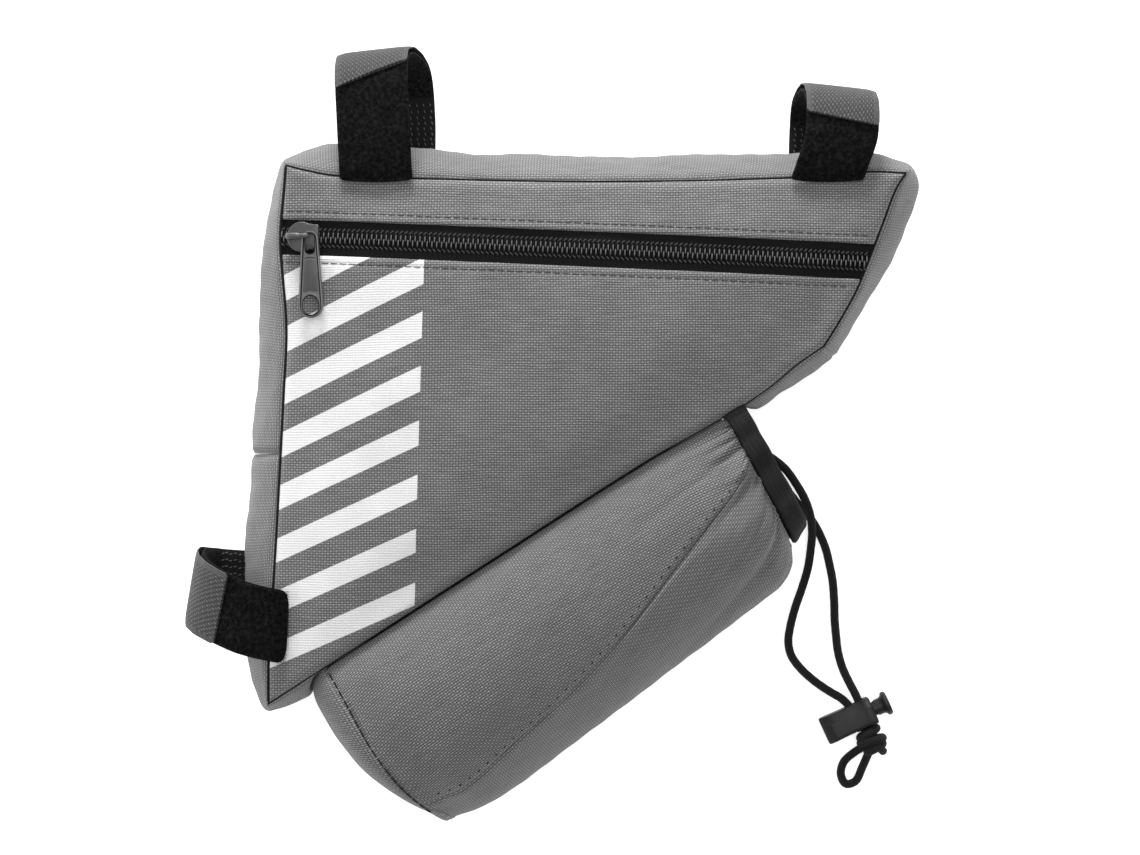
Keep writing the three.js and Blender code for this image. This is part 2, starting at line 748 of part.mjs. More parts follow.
// The outer face of the pouch: along it, and round it from the front seam (0) to the back one (1).
function pouchPoint(along, round, lift = 0) {
  const section = sectionAt(along);
  const corner = ({ u, from, to, share }) =>
    new THREE.Vector3(Math.max(GAP, u * section.reach), lerp(section[from], section[to], share), 0);
  const curve = new THREE.CatmullRomCurve3(SECTION_OUTLINE.map(corner));
  const at = curve.getPoint(round);
  const before = curve.getPoint(Math.max(0, round - POUCH.tangentStep));
  const ahead = curve.getPoint(Math.min(1, round + POUCH.tangentStep)).sub(before).normalize();
  const puckered = smoothstep(along, POUCH.gatherFrom, POUCH.fabricEnd) * Math.sin(Math.PI * round);
  const ripple = POUCH.gatherDepth * puckered * Math.cos(2 * Math.PI * POUCH.gathers * round);
  const out = Math.max(GAP, at.x - ahead.y * (ripple + lift));
  const up = Math.max(section.under, at.y + ahead.x * (ripple + lift));
  return onPouch(along, out, up);
}

// A place on the pouch in the bag's frame, from its place along the slope, out from the seam and up.
function onPouch(along, out, up) {
  const { to: foot, dir, normal, length } = FRAMES.slope;
  const s = POUCH.start + along - valueAt(POUCH_SECTIONS, 'along', 'shear', along) * out;
  const bow = bowAt('slope', 1 - s / length) * Math.max(0, 1 - out / POUCH.bowReach);
  const away = out + bow;
  return new THREE.Vector3(foot.x - dir.x * s + normal.x * away, foot.y - dir.y * s + normal.y * away, up);
}

// The topstitched seam between the pouch's front and side panels.
function pouchSeam(along) {
  const { from, drop, length, power } = POUCH.seam;
  return from - drop * (Math.max(0, along) / length) ** power;
}

function pouchWall(roundFrom, roundTo, steps) {
  const surface = (u, v) => {
    const along = lerp(POUCH.endAt, POUCH.fabricEnd, u ** POUCH.rowEase);
    return pouchPoint(along, lerp(roundFrom(along), roundTo(along), v));
  };
  return sheet(surface, ...steps, SKIN, normalOf(surface, 1));
}

const seamBefore = (along) => pouchSeam(along) - POUCH.seamGap;
const seamAfter = (along) => pouchSeam(along) + POUCH.seamGap;
const pouchFrontPanel = () => pouchWall(() => 0, seamBefore, STEPS.pouchFront);
const pouchSidePanel = () => pouchWall(seamAfter, () => 1, STEPS.pouchSide);

function pouchEndPanel() {
  const { to: foot, normal } = FRAMES.slope;
  const section = (round) => {
    const at = pouchPoint(POUCH.endAt, round);
    return { x: (at.x - foot.x) * normal.x + (at.y - foot.y) * normal.y, y: at.z };
  };
  const inner = (v) => ({ x: GAP, y: lerp(section(1).y, section(0).y, v) });
  const patch = coons(
    (u) => section(lerp(1, POUCH.endLow, u)),
    (u) => section(lerp(0, POUCH.endHigh, u)),
    inner,
    (v) => section(lerp(POUCH.endLow, POUCH.endHigh, v)),
  );
  const surface = (u, v) => {
    const at = patch(u, v);
    const across = 2 * u ** POUCH.rowEase - 1;
    const high = 2 * v - 1;
    const round = 1 - (across ** 2 + high ** 2 - (across * high) ** 2);
    const root = POUCH.domeRoot * (1 - u) * Math.sin(Math.PI * v);
    const bulge = POUCH.dome * Math.sqrt(clamp(round, 0, 1)) + root;
    return onPouch(POUCH.endAt - GAP - SKIN - bulge, at.x, at.y);
  };
  const inward = new THREE.Vector3(-FRAMES.slope.dir.x, -FRAMES.slope.dir.y, 0);
  return sheet(surface, ...STEPS.pouchEnd, SKIN, () => inward);
}

function pouchMouthBinding() {
  const { bindingStart, bindingEnd, bindingFrom, bindingTo, bindingLift } = POUCH;
  const surface = (u, v) =>
    pouchPoint(lerp(bindingStart, bindingEnd, v), lerp(bindingFrom, bindingTo, u), bindingLift);
  return sheet(surface, ...STEPS.binding, POUCH.bindingThickness, normalOf(surface, -1));
}

// Straps

function strapBand(strap, from, to, cutBack, lift, thickness) {
  const side = { x: strap.out.y, y: -strap.out.x };
  const curve = (key) => {
    const values = strap.path.map((row) => new THREE.Vector3(row[key], 0, 0));
    return new THREE.CatmullRomCurve3(values, false, 'catmullrom', 0.5);
  };
  const [out, up, shift, lean] = ['out', 'up', 'shift', 'lean'].map(curve);
  const bare = (t, across) => {
    const away = out.getPoint(t).x + lean.getPoint(t).x * across;
    const sideways = shift.getPoint(t).x + STRAP.width * across;
    return new THREE.Vector3(
      strap.at.x + strap.out.x * away + side.x * sideways,
      strap.at.y + strap.out.y * away + side.y * sideways,
      up.getPoint(t).x,
    );
  };
  const place = (u, v) => [lerp(from + cutBack * (v - 0.5), to, u), v - 0.5];
  const surfaceNormal = normalOf((u, v) => bare(u, v - 0.5), -1);
  const surface = (u, v) => {
    const [t, across] = place(u, v);
    return bare(t, across).addScaledVector(surfaceNormal(t, v), lift);
  };
  const inward = (u, v) => surfaceNormal(place(u, v)[0], v).negate();
  return sheet(surface, ...STEPS.strap, thickness, inward);
}

const strapPile = (strap) => strapBand(strap, 0, strap.pileEnd, 0, 0, STRAP.pileThickness);
const strapHook = (strap) =>
  strapBand(strap, strap.hookStart, 1, strap.hookCut, STRAP.gap + STRAP.hookThickness, STRAP.hookThickness);

// Zip slider and its pull

// Puts the slider's frame on the coil: its origin is under the middle of the plate, its nose points along -X.
function seatSlider(group) {
  const x = ZIP.left.x + SLIDER.noseInset + SLIDER.length / 2;
  const y = lerp(ZIP.left.y, ZIP.right.y, (x - ZIP.left.x) / (ZIP.right.x - ZIP.left.x));
  const coilTop = frontHeight({ x, y }) - WALL + ZIP.coilBase + ZIP.coilHeight;
  group.position.set(x, y, coilTop + SLIDER.lift);
  group.rotation.set(SLIDER.roll, -SLIDER.pitch, 0);
}

function zipSlider() {
  const { length, width, tailWidth, plate, bevel, post, lip, barRadius, barEnd, buried } = SLIDER;
  const nose = -length / 2;
  const [w, tail] = [width / 2, tailWidth / 2];
  const [cheek, breadth] = [nose + w * SLIDER.noseRound, w * SLIDER.noseBreadth];
  const [waist, waistHalf] = [nose + length * SLIDER.waistAt, w * SLIDER.waistWidth];
  const outline = new THREE.Shape();
  outline.moveTo(cheek, -w);
  outline.quadraticCurveTo(nose, -breadth, nose, 0);
  outline.quadraticCurveTo(nose, breadth, cheek, w);
  outline.lineTo(waist, waistHalf);
  outline.lineTo(nose + length, tail);
  outline.lineTo(nose + length, -tail);
  outline.lineTo(waist, -waistHalf);
  const body = new THREE.ExtrudeGeometry(outline, {
    depth: plate - 2 * bevel,
    bevelThickness: bevel,
    bevelSize: bevel,
    bevelOffset: -bevel,
    bevelSegments: 1,
    curveSegments: 6,
  }).translate(0, 0, bevel);
  const flanges = [-1, 1].map((side) => {
    const drop = SLIDER.flangeDrop + buried;
    const box = new THREE.BoxGeometry(length * SLIDER.flangeLength, SLIDER.flange, drop);
    return box.translate(0, side * (waistHalf - SLIDER.flange / 2), buried - drop / 2);
  });
  const barZ = plate + SLIDER.barHeight;
  const postTop = barZ + barRadius;
  const foot = plate - buried;
  const stand = new THREE.BoxGeometry(post.length, post.width, postTop - foot).translate(
    nose + post.from + post.length / 2,
    0,
    (postTop + foot) / 2,
  );
  const barStart = post.from + post.length / 2;
  const bar = new THREE.CylinderGeometry(barRadius, barRadius, barEnd - barStart, 10)
    .rotateZ(Math.PI / 2)
    .translate(nose + (barStart + barEnd) / 2, 0, barZ);
  const hook = new THREE.BoxGeometry(lip.length, lip.width, lip.drop).translate(
    nose + barEnd - lip.length / 2 - lip.inset,
    0,
    barZ - lip.drop / 2,
  );
  return joined(body, ...flanges, stand, bar, hook);
}

// The pull in its own frame: the hinge is the origin, it hangs along -Y, and it lies under the bar.
function zipPull() {
  const { beyondBar, length, footRadius, topWidth, corner, shoulder, rim, window: eye } = PULL;
  const foot = beyondBar - length + footRadius;
  const w = topWidth / 2;
  const neck = beyondBar - eye.length - 2 * rim;
  const shape = new THREE.Shape();
  shape.moveTo(-w, beyondBar - corner);
  shape.quadraticCurveTo(-w, beyondBar, -w + corner, beyondBar);
  shape.lineTo(w - corner, beyondBar);
  shape.quadraticCurveTo(w, beyondBar, w, beyondBar - corner);
  shape.lineTo(shoulder / 2, neck);
  shape.lineTo(footRadius, foot + PULL.footRise);
  shape.absarc(0, foot, footRadius, 0, -Math.PI, true);
  shape.lineTo(-shoulder / 2, neck);
  const [side, eyeTop] = [eye.width / 2, beyondBar - rim];
  const eyeFoot = eyeTop - eye.length + side;
  const opening = new THREE.Path();
  opening.moveTo(-side, eyeTop - eye.corner);
  opening.lineTo(-side, eyeFoot);
  opening.absarc(0, eyeFoot, side, Math.PI, 2 * Math.PI, false);
  opening.lineTo(side, eyeTop - eye.corner);
  opening.quadraticCurveTo(side, eyeTop, side - eye.corner, eyeTop);
  opening.lineTo(eye.corner - side, eyeTop);
  opening.quadraticCurveTo(-side, eyeTop, -side, eyeTop - eye.corner);
  const hole = new THREE.Path().absarc(0, foot, PULL.hole, 0, Math.PI * 2);
  shape.holes.push(opening, hole);
  const depth = PULL.thickness;
  const plate = new THREE.ExtrudeGeometry(shape, { depth, bevelEnabled: false, curveSegments: 8 });
  return plate.translate(PULL.aside, 0, -SLIDER.barRadius - PULL.clearance - depth);
}

// Cord, lock and knot

const strand = (route) =>
  tube(
    route.map(([x, y, z]) => new THREE.Vector3(x, y, z)),
    CORD.diameter,
    CORD.step,
    CORD.sides,
  );

// The lock's body in its own frame: +X runs from its closed end to its button.
function cordLockBody() {
  const { bevel: b, edge, overcut } = LOCK;
  const outline = new THREE.Shape();
  const [w, h] = [LOCK.width / 2 - b, LOCK.height / 2 - b];
  outline.absarc(w, h, b, 0, Math.PI / 2, false);
  outline.absarc(-w, h, b, Math.PI / 2, Math.PI, false);
  outline.absarc(-w, -h, b, Math.PI, 1.5 * Math.PI, false);
  outline.absarc(w, -h, b, 1.5 * Math.PI, 2 * Math.PI, false);
  const barrel = new THREE.ExtrudeGeometry(outline, {
    depth: LOCK.length - 2 * edge,
    bevelThickness: edge,
    bevelSize: edge,
    bevelOffset: -edge,
    bevelSegments: 1,
    curveSegments: 3,
  })
    .translate(0, 0, edge)
    .rotateY(Math.PI / 2)
    .rotateX(Math.PI / 2);
  const hole = new THREE.BoxGeometry(LOCK.holeLength, LOCK.width * 2, LOCK.holeHeight);
  hole.translate(LOCK.holeAt, 0, 0);
  const bore = new THREE.CylinderGeometry(LOCK.boreRadius, LOCK.boreRadius, LOCK.boreDepth + overcut, 16)
    .rotateZ(Math.PI / 2)
    .translate(LOCK.length + (overcut - LOCK.boreDepth) / 2, 0, 0);
  return cut(barrel, hole, bore);
}

function cordLockButton() {
  const start = LOCK.length - BUTTON.shankIn;
  const headStart = LOCK.length + BUTTON.neckOut;
  const { shank, neckFlare, headRadius, headRound, faceRound, rimInset } = BUTTON;
  const face = headStart + BUTTON.headThickness;
  const dish = face - BUTTON.rimDepth;
  const profile = [
    [0, start],
    [shank, start],
    [shank, headStart - neckFlare],
    [headRadius - headRound, headStart],
    [headRadius, headStart + headRound],
    [headRadius, face - faceRound],
    [headRadius - faceRound, face],
    [headRadius - rimInset, face],
    [headRadius - rimInset - faceRound, dish],
    [0, dish],
  ].map(([r, x]) => new THREE.Vector2(r, x));
  const turned = new THREE.LatheGeometry(profile, 16).rotateZ(-Math.PI / 2);
  const slotLength = LOCK.holeLength + LOCK.travel;
  const slot = new THREE.BoxGeometry(slotLength, LOCK.width * 2, LOCK.holeHeight);
  return cut(turned, slot.translate(LOCK.holeAt + LOCK.travel / 2, 0, 0));
}

function cordKnot() {
  const across = LOCK.turn;
  const pieces = KNOT.wraps.map(({ back, radius }) => {
    const ring = new THREE.TorusGeometry(radius, CORD.diameter / 2 + KNOT.swell, 6, 12);
    ring.scale(1, KNOT.flat, 1).rotateX(Math.PI / 2).rotateZ(across);
    return ring.translate(
      KNOT.at.x - Math.sin(across) * back,
      KNOT.at.y + Math.cos(across) * back,
      LOCK.mid,
    );
  });
  const core = new THREE.CylinderGeometry(KNOT.core, KNOT.core, KNOT.coreLength, 10);
  core.scale(1, 1, KNOT.coreFlat).rotateZ(across);
  core.translate(KNOT.at.x, KNOT.at.y, LOCK.mid);
  const loop = KNOT.loop.map(({ x, y }, i) => {
    const laid = Math.sin((Math.PI * i) / (KNOT.loop.length - 1)) ** KNOT.loopDrop;
    return new THREE.Vector3(x, y, lerp(LOCK.mid, CORD.diameter / 2 + KNOT.loopLift, laid));
  });
  return joined(...pieces, core, tube(loop, CORD.diameter, 3, 8));
}

// The assembly

const bag = new THREE.Group();

function add(name, geometry, finish, parent = bag) {
  const mesh = new THREE.Mesh(geometry, new THREE.MeshStandardMaterial(COLOURS[finish]));
  mesh.name = name;
  parent.add(mesh);
  return mesh;
}

add('back_panel', backPanel(), 'polyester');
add('gusset_upper', gussetUpper(), 'polyester');
add('gusset_lower', gussetLower(), 'polyester');
add('front_lower_panel', frontLowerPanel(), 'polyester');
add('front_upper_panel', frontUpperPanel(), 'polyester');

add('zip_tape_upper', zipTape(1), 'zipTape');
add('zip_tape_lower', zipTape(-1), 'zipTape');
add('zip_coil', zipCoil(), 'zipCoil');

const runner = new THREE.Group();
seatSlider(runner);
bag.add(runner);
add('zip_slider', zipSlider(), 'zipMetal', runner);
const pull = add('zip_pull', zipPull(), 'zipMetal', runner);
pull.position.set(SLIDER.hingeAt - SLIDER.length / 2, 0, SLIDER.plate + SLIDER.barHeight);
pull.rotation.x = PULL.tilt;

for (const [name, strap] of Object.entries(STRAPS)) {
  add(`${name}_pile`, strapPile(strap), 'pile');
  add(`${name}_hook`, strapHook(strap), 'hook');
}

add('pouch_front_panel', pouchFrontPanel(), 'polyester');
add('pouch_side_panel', pouchSidePanel(), 'polyester');
add('pouch_end_panel', pouchEndPanel(), 'polyester');
add('pouch_mouth_binding', pouchMouthBinding(), 'binding');

for (const [name, route] of Object.entries(STRAND_ROUTES)) add(name, strand(route), 'cord');

const lock = new THREE.Group();
lock.position.set(LOCK.end.x, LOCK.end.y, LOCK.mid);
lock.rotation.z = LOCK.turn;
bag.add(lock);
add('cord_lock_body', cordLockBody(), 'lock', lock);
add('cord_lock_button', cordLockButton(), 'lock', lock);
add('cord_knot', cordKnot(), 'cord');

export default bag;
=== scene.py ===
"""A bicycle frame bag with a slanted bottle pouch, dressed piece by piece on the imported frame.

The bag lies on its back panel with its straps and its drawcord laid out beside it. The tables are in
millimetres, the unit that the bag's patterns are cut in, and a mesh is turned into metres when it becomes a
Blender object.
"""

import logging
import math
from dataclasses import dataclass, field
from enum import Enum
from functools import reduce
from typing import Callable, Iterable, Sequence

import bpy
import numpy as np
from mathutils import Matrix, Vector

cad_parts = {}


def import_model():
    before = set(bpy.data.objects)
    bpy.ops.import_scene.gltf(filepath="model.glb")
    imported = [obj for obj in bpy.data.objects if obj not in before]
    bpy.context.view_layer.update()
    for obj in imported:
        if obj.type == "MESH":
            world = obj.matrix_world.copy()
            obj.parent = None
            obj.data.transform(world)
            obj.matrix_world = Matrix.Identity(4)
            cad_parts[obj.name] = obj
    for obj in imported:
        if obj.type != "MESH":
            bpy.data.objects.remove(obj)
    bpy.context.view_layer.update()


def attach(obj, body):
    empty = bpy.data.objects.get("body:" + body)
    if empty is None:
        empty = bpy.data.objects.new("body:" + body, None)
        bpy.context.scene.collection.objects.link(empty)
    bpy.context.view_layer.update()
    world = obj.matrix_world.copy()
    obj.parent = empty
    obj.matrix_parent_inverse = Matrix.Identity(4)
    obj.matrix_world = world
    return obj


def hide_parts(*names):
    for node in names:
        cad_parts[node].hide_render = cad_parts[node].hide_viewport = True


LOG = logging.getLogger("frame_bag")
MM = 0.001
UP = np.array([0.0, 0.0, 1.0])
SPLINE_STEPS = 60

Array = np.ndarray
Amount = Array | float
Socket = bpy.types.NodeSocket
Value = Socket | float
Waves = tuple[tuple[float, float, float, float], ...]


# Curves and surfaces


def lerp(a: Amount, b: Amount, t: Amount) -> Amount:
    """The value a share t of the way from a to b."""
    return a + (b - a) * t


def smoothstep(value: Array, low: float, high: float) -> Array:
    """A smooth rise from 0 at low to 1 at high."""
    t = np.clip((value - low) / (high - low), 0.0, 1.0)
    return t * t * (3 - 2 * t)


def bump_at(distance: Array, width: float) -> Array:
    """A round bump of height 1 where distance is 0, about as wide as width to each side."""
    return np.exp(-((distance / width) ** 2))


def unit(vectors: Array) -> Array:
    """The vectors at length 1."""
    return vectors / np.maximum(np.linalg.norm(vectors, axis=-1, keepdims=True), 1e-12)


def value_at(places: Sequence[float], values: Sequence[float], at: Amount) -> Array:
    """A column of a table at places between its rows, through a smooth curve.

    Args:
        places: Where the rows stand, rising.
        values: The column's value in each row.
        at: The places asked for.

    Returns:
        The column's value at each place.
    """
    xs, ys = np.asarray(places, float), np.asarray(values, float)
    at = np.clip(at, xs[0], xs[-1])
    b = np.clip(np.searchsorted(xs, at, side="right"), 1, len(xs) - 1)
    a = b - 1
    before, after = np.maximum(a - 1, 0), np.minimum(b + 1, len(xs) - 1)
    span = xs[b] - xs[a]
    t = (at - xs[a]) / span
    slope_a = (ys[b] - ys[before]) / (xs[b] - xs[before]) * span
    slope_b = (ys[after] - ys[a]) / (xs[after] - xs[a]) * span
    return (
        (2 * t**3 - 3 * t**2 + 1) * ys[a]
        + (t**3 - 2 * t**2 + t) * slope_a
        + (3 * t**2 - 2 * t**3) * ys[b]
        + (t**3 - t**2) * slope_b
    )


def spline(points: Array, at: Array, centripetal: bool = True) -> Array:
    """Smooth curves through points.

    Args:
        points: One row of points for each curve, as curves, points, values.
        at: The shares of each curve to give, as curves, places.
        centripetal: Whether the knots stand by the root of their distance, or else evenly.

    Returns:
        The curves' points, as curves, places, values.
    """
    first = 2 * points[:, :1] - points[:, 1:2]
    last = 2 * points[:, -1:] - points[:, -2:-1]
    known = np.concatenate([first, points, last], axis=1)
    count = points.shape[1]
    place = np.clip(at, 0, 1) * (count - 1)
    i = np.clip(np.floor(place).astype(int), 0, count - 2)
    w = (place - i)[..., None]
    curve = np.arange(len(points))[:, None]
    p0, p1, p2, p3 = (known[curve, i + k] for k in range(4))
    if centripetal:
        d0, d1, d2 = (
            np.maximum(np.linalg.norm(b - a, axis=-1, keepdims=True), 1e-8) ** 0.5
            for a, b in ((p0, p1), (p1, p2), (p2, p3))
        )
        t1 = ((p1 - p0) / d0 - (p2 - p0) / (d0 + d1) + (p2 - p1) / d1) * d1
        t2 = ((p2 - p1) / d1 - (p3 - p1) / (d1 + d2) + (p3 - p2) / d2) * d1
    else:
        t1, t2 = (p2 - p0) / 2, (p3 - p1) / 2
    return p1 + t1 * w + (3 * (p2 - p1) - 2 * t1 - t2) * w**2 + (2 * (p1 - p2) + t1 + t2) * w**3


def route(points: Sequence[Sequence[float]], step: float) -> Array:
    """A smooth line through points.

    Args:
        points: The points that it passes, in order.
        step: The distance between the points given.

    Returns:
        Evenly spaced points on the line.
    """
    known = np.asarray(points, float)[None]
    fine = spline(known, np.linspace(0, 1, SPLINE_STEPS * len(points))[None])[0]
    return evenly(fine, step)


def evenly(line: Array, step: float) -> Array:
    """The line again, with its points about step apart."""
    along = arc_lengths(line)
    at = np.linspace(0, along[-1], max(3, round(along[-1] / step) + 1))
    return np.stack([np.interp(at, along, line[:, k]) for k in range(line.shape[1])], axis=1)


def arc_lengths(line: Array) -> Array:
    """How far along the line each of its points is."""
    return np.concatenate([[0.0], np.cumsum(np.linalg.norm(np.diff(line, axis=0), axis=1))])


def crowded(count: int, ends: float = 0.85) -> Array:
    """Shares from 0 to 1 that stand closer together near both ends."""
    even = np.linspace(0, 1, count)
    return even - ends * np.sin(2 * math.pi * even) / (2 * math.pi)


def coons(bottom: Array, top: Array, left: Array, right: Array, u: Array, v: Array) -> Array:
    """A patch that fills four boundary lines.

    Args:
        bottom: Points of the lower line at the shares u.
        top: Points of the upper line at the shares u.
        left: Points of the left line at the shares v.
        right: Points of the right line at the shares v.
        u: Shares from left to right.
        v: Shares from bottom to top.

    Returns:
        The patch's points, a row for each v.
    """
    across, upward = u[None, :, None], v[:, None, None]
    ruled = lerp(bottom[None], top[None], upward) + lerp(left[:, None], right[:, None], across)
    low = lerp(bottom[0], bottom[-1], across)
    high = lerp(top[0], top[-1], across)
    return ruled - lerp(low, high, upward)


def raised(xy: Array, z: Amount) -> Array:
    """Places in the plane with their heights."""
    return np.concatenate([xy, np.broadcast_to(z, xy.shape[:-1])[..., None]], axis=-1)


def grid_normals(grid: Array) -> Array:
    """The unit normals of a grid of points, along rows cross along columns."""
    return unit(np.cross(np.gradient(grid, axis=0), np.gradient(grid, axis=1)))


def out_sign(points: Array, normals: Array) -> float:
    """1 where the normals point away from the middle of their points, or else -1."""
    away = ((points - points.reshape(-1, 3).mean(axis=0)) * normals).sum(axis=-1)
    return 1.0 if np.median(away) > 0 else -1.0


def waves(x: Array, y: Array, rows: Waves) -> Array:
    """A sum of soft waves.

    Args:
        x: The places' first coordinate.
        y: The places' second coordinate.
        rows: For each wave its height, its turn in degrees, its length and its start in degrees.

    Returns:
        The height at each place.
    """
    total = np.zeros(np.broadcast(x, y).shape)
    for height, turn, length, start in rows:
        angle = math.radians(turn)
        phase = (x * math.cos(angle) + y * math.sin(angle)) / length * 2 * math.pi
        total = total + height * np.sin(phase + math.radians(start))
    return total


# Shapes, which become Blender objects when they are dressed


@dataclass
class Shape:
    """Points in millimetres and faces, with the cloth coordinates that a weave follows.

    The faces of a wall's back start at the number behind_from.
    """

    points: Array
    faces: list
    weave: Array
    behind_from: int = 0

    def plus(self, other: "Shape") -> "Shape":
        """The two shapes as one."""
        shifted = [[i + len(self.points) for i in face] for face in other.faces]
        return Shape(
            np.concatenate([self.points, other.points]),
            self.faces + shifted,
            np.concatenate([self.weave, other.weave]),
        )

    def facing_out(self) -> "Shape":
        """The shape with its faces turned outwards."""
        corners = np.array([face[:3] for face in self.faces])
        ends = np.array([[face[0], face[2], face[-1]] for face in self.faces if len(face) == 4])
        volume = 0.0
        for rows in (corners, ends):
            if len(rows):
                a, b, c = (self.points[rows[:, k]] for k in range(3))
                volume += float((a * np.cross(b, c)).sum())
        if volume < 0:
            self.faces = [face[::-1] for face in self.faces]
        return self

    def placed(self, matrix: Matrix) -> "Shape":
        """The shape moved by a matrix in millimetres."""
        m = np.array(matrix)
        return Shape(self.points @ m[:3, :3].T + m[:3, 3], self.faces, self.weave)


def joined(shapes: Iterable[Shape]) -> Shape:
    """Several shapes as one."""
    return reduce(Shape.plus, shapes)


def grid_faces(rows: int, columns: int, start: int = 0, closed: bool = False) -> list:
    """The four-sided faces of a grid of points.

    Args:
        rows: How many rows of points it has.
        columns: How many points a row has.
        start: The number of its first point.
        closed: Whether each row's end joins its beginning.

    Returns:
        The faces, each as four point numbers.
    """
    i, j = np.meshgrid(np.arange(rows - 1), np.arange(columns if closed else columns - 1), indexing="ij")
    following = (j + 1) % columns
    here, below = i * columns, (i + 1) * columns
    corners = [here + j, below + j, below + following, here + following]
    return (np.stack(corners, axis=-1).reshape(-1, 4) + start).tolist()


def lofted(rings: Array, weave: Array | None = None) -> Shape:
    """A closed shape through rings of points, with a flat cap at each end.

    Args:
        rings: The rings, as rings, points, three.
        weave: The cloth coordinates, or None for the points themselves.

    Returns:
        The shape.
    """
    count, sides = rings.shape[:2]
    last = (count - 1) * sides
    faces = grid_faces(count, sides, closed=True)
    faces += [list(range(sides)), [last + k for k in range(sides - 1, -1, -1)]]
    points = rings.reshape(-1, 3)
    coordinates = points.copy() if weave is None else weave.reshape(-1, 3)
    return Shape(points, faces, coordinates).facing_out()


def wall(outer: Array, inner: Array, weave: Array) -> Shape:
    """A closed wall between two grids of points.

    Args:
        outer: The face that shows, as rows, columns, three.
        inner: The face behind it.
        weave: The cloth coordinates in millimetres, and how near its edge it is.

    Returns:
        The wall.
    """
    rows, columns = outer.shape[:2]
    behind = rows * columns
    faces = grid_faces(rows, columns)
    shown = len(faces)
    faces += [face[::-1] for face in grid_faces(rows, columns, behind)]
    edge = [i * columns for i in range(rows)]
    edge += [(rows - 1) * columns + j for j in range(1, columns)]
    edge += [i * columns + columns - 1 for i in range(rows - 2, -1, -1)]
    edge += list(range(columns - 2, 0, -1))
    for a, b in zip(edge, edge[1:] + edge[:1]):
        faces.append([b, a, a + behind, b + behind])
    points = np.concatenate([outer.reshape(-1, 3), inner.reshape(-1, 3)])
    coordinates = weave.reshape(-1, 3)
    return Shape(points, faces, np.concatenate([coordinates, coordinates]), shown).facing_out()


def cloth(outer: Array, thickness: float, inward: Array, weave: Array | None = None) -> Shape:
    """A wall of cloth behind a grid of points.

    Args:
        outer: The face that shows, as rows, columns, three.
        thickness: How thick it is.
        inward: The unit vectors that point into the cloth.
        weave: Its cloth coordinates, or None to lay them along the rows and columns.

    Returns:
        The wall.
    """
    if weave is None:
        weave = laid_out(outer)
    rim = edge_closeness(outer)
    return wall(outer, outer + inward * thickness, np.concatenate([weave, rim[..., None]], axis=-1))


def laid_out(grid: Array) -> Array:
    """Cloth coordinates of a grid, by its lengths along its middle row and column."""
    rows, columns = grid.shape[:2]
    down = np.linalg.norm(np.diff(grid, axis=0), axis=-1).mean(axis=1)
    across = np.linalg.norm(np.diff(grid, axis=1), axis=-1)
    u = np.concatenate([[0.0], np.cumsum(down)])[:, None] + np.zeros((1, columns))
    v = np.concatenate([np.zeros((rows, 1)), np.cumsum(across, axis=1)], axis=1)
    return np.stack([u, v], axis=-1)


def edge_closeness(grid: Array, reach: float = 3.0) -> Array:
    """How near each point of a grid is to its border, from 1 on it to 0 far from it."""
    across = np.linalg.norm(np.diff(grid, axis=1), axis=-1)
    down = np.linalg.norm(np.diff(grid, axis=0), axis=-1)
    right = np.concatenate([np.zeros((len(grid), 1)), np.cumsum(across, axis=1)], axis=1)
    below = np.concatenate([np.zeros((1, grid.shape[1])), np.cumsum(down, axis=0)], axis=0)
    nearest = np.minimum.reduce([right, right[:, -1:] - right, below, below[-1:] - below])
    return np.exp(-nearest / reach)


def line_frames(line: Array) -> tuple[Array, Array, Array]:
    """Directions along a line and two across it that don't twist.

    Args:
        line: The line's points.

    Returns:
        The tangents, and two rows of unit vectors across them.
    """
    tangents = unit(np.gradient(line, axis=0))
    start = UP if abs(tangents[0] @ UP) < 0.9 else np.array([1.0, 0.0, 0.0])
    across = np.empty_like(tangents)
    across[0] = unit(start - tangents[0] * (start @ tangents[0]))
    for i in range(1, len(line)):
        carried = across[i - 1] - tangents[i] * (across[i - 1] @ tangents[i])
        across[i] = unit(carried)
    return tangents, across, np.cross(tangents, across)


def tube(line: Array, radius: Amount, sides: int = 12, flat: float = 1.0) -> Shape:
    """A round tube along a line.

    Args:
        line: The points that it follows.
        radius: Its radius, or one for each point.
        sides: How many sides it has.
        flat: Its thickness as a share of its width.

    Returns:
        The tube, whose weave runs along it and round it.
    """
    _, across, other = line_frames(line)
    radii = np.broadcast_to(radius, len(line))[:, None]
    angles = np.linspace(0, 2 * math.pi, sides, endpoint=False)
    rings = (
        line[:, None]
        + (radii * np.cos(angles) * flat)[..., None] * across[:, None]
        + (radii * np.sin(angles))[..., None] * other[:, None]
    )
    along = np.broadcast_to(arc_lengths(line)[:, None], rings.shape[:2])
    return lofted(rings, np.stack([along, radii * angles, np.zeros_like(along)], axis=-1))


def repeated(small: Shape, places: Array, along: Array, up: Array, size: Amount = 1.0) -> Shape:
    """Many copies of a small shape as one.

    Args:
        small: The shape, with X along, Y across and Z up.
        places: Where each copy stands.
        along: The direction of each copy's X.
        up: The direction of each copy's Z, which is squared to X.
        size: The scale of each copy.

    Returns:
        The copies, joined.
    """
    x = unit(along)
    z = unit(up - x * (up * x).sum(axis=1, keepdims=True))
    y = np.cross(z, x)
    axes = np.stack([x, y, z], axis=1) * np.broadcast_to(size, len(places))[:, None, None]
    points = np.einsum("pk,nkd->npd", small.points, axes) + places[:, None]
    count = len(small.points)
    faces = [[i + n * count for i in face] for n in range(len(places)) for face in small.faces]
    return Shape(points.reshape(-1, 3), faces, np.tile(small.weave, (len(places), 1)))


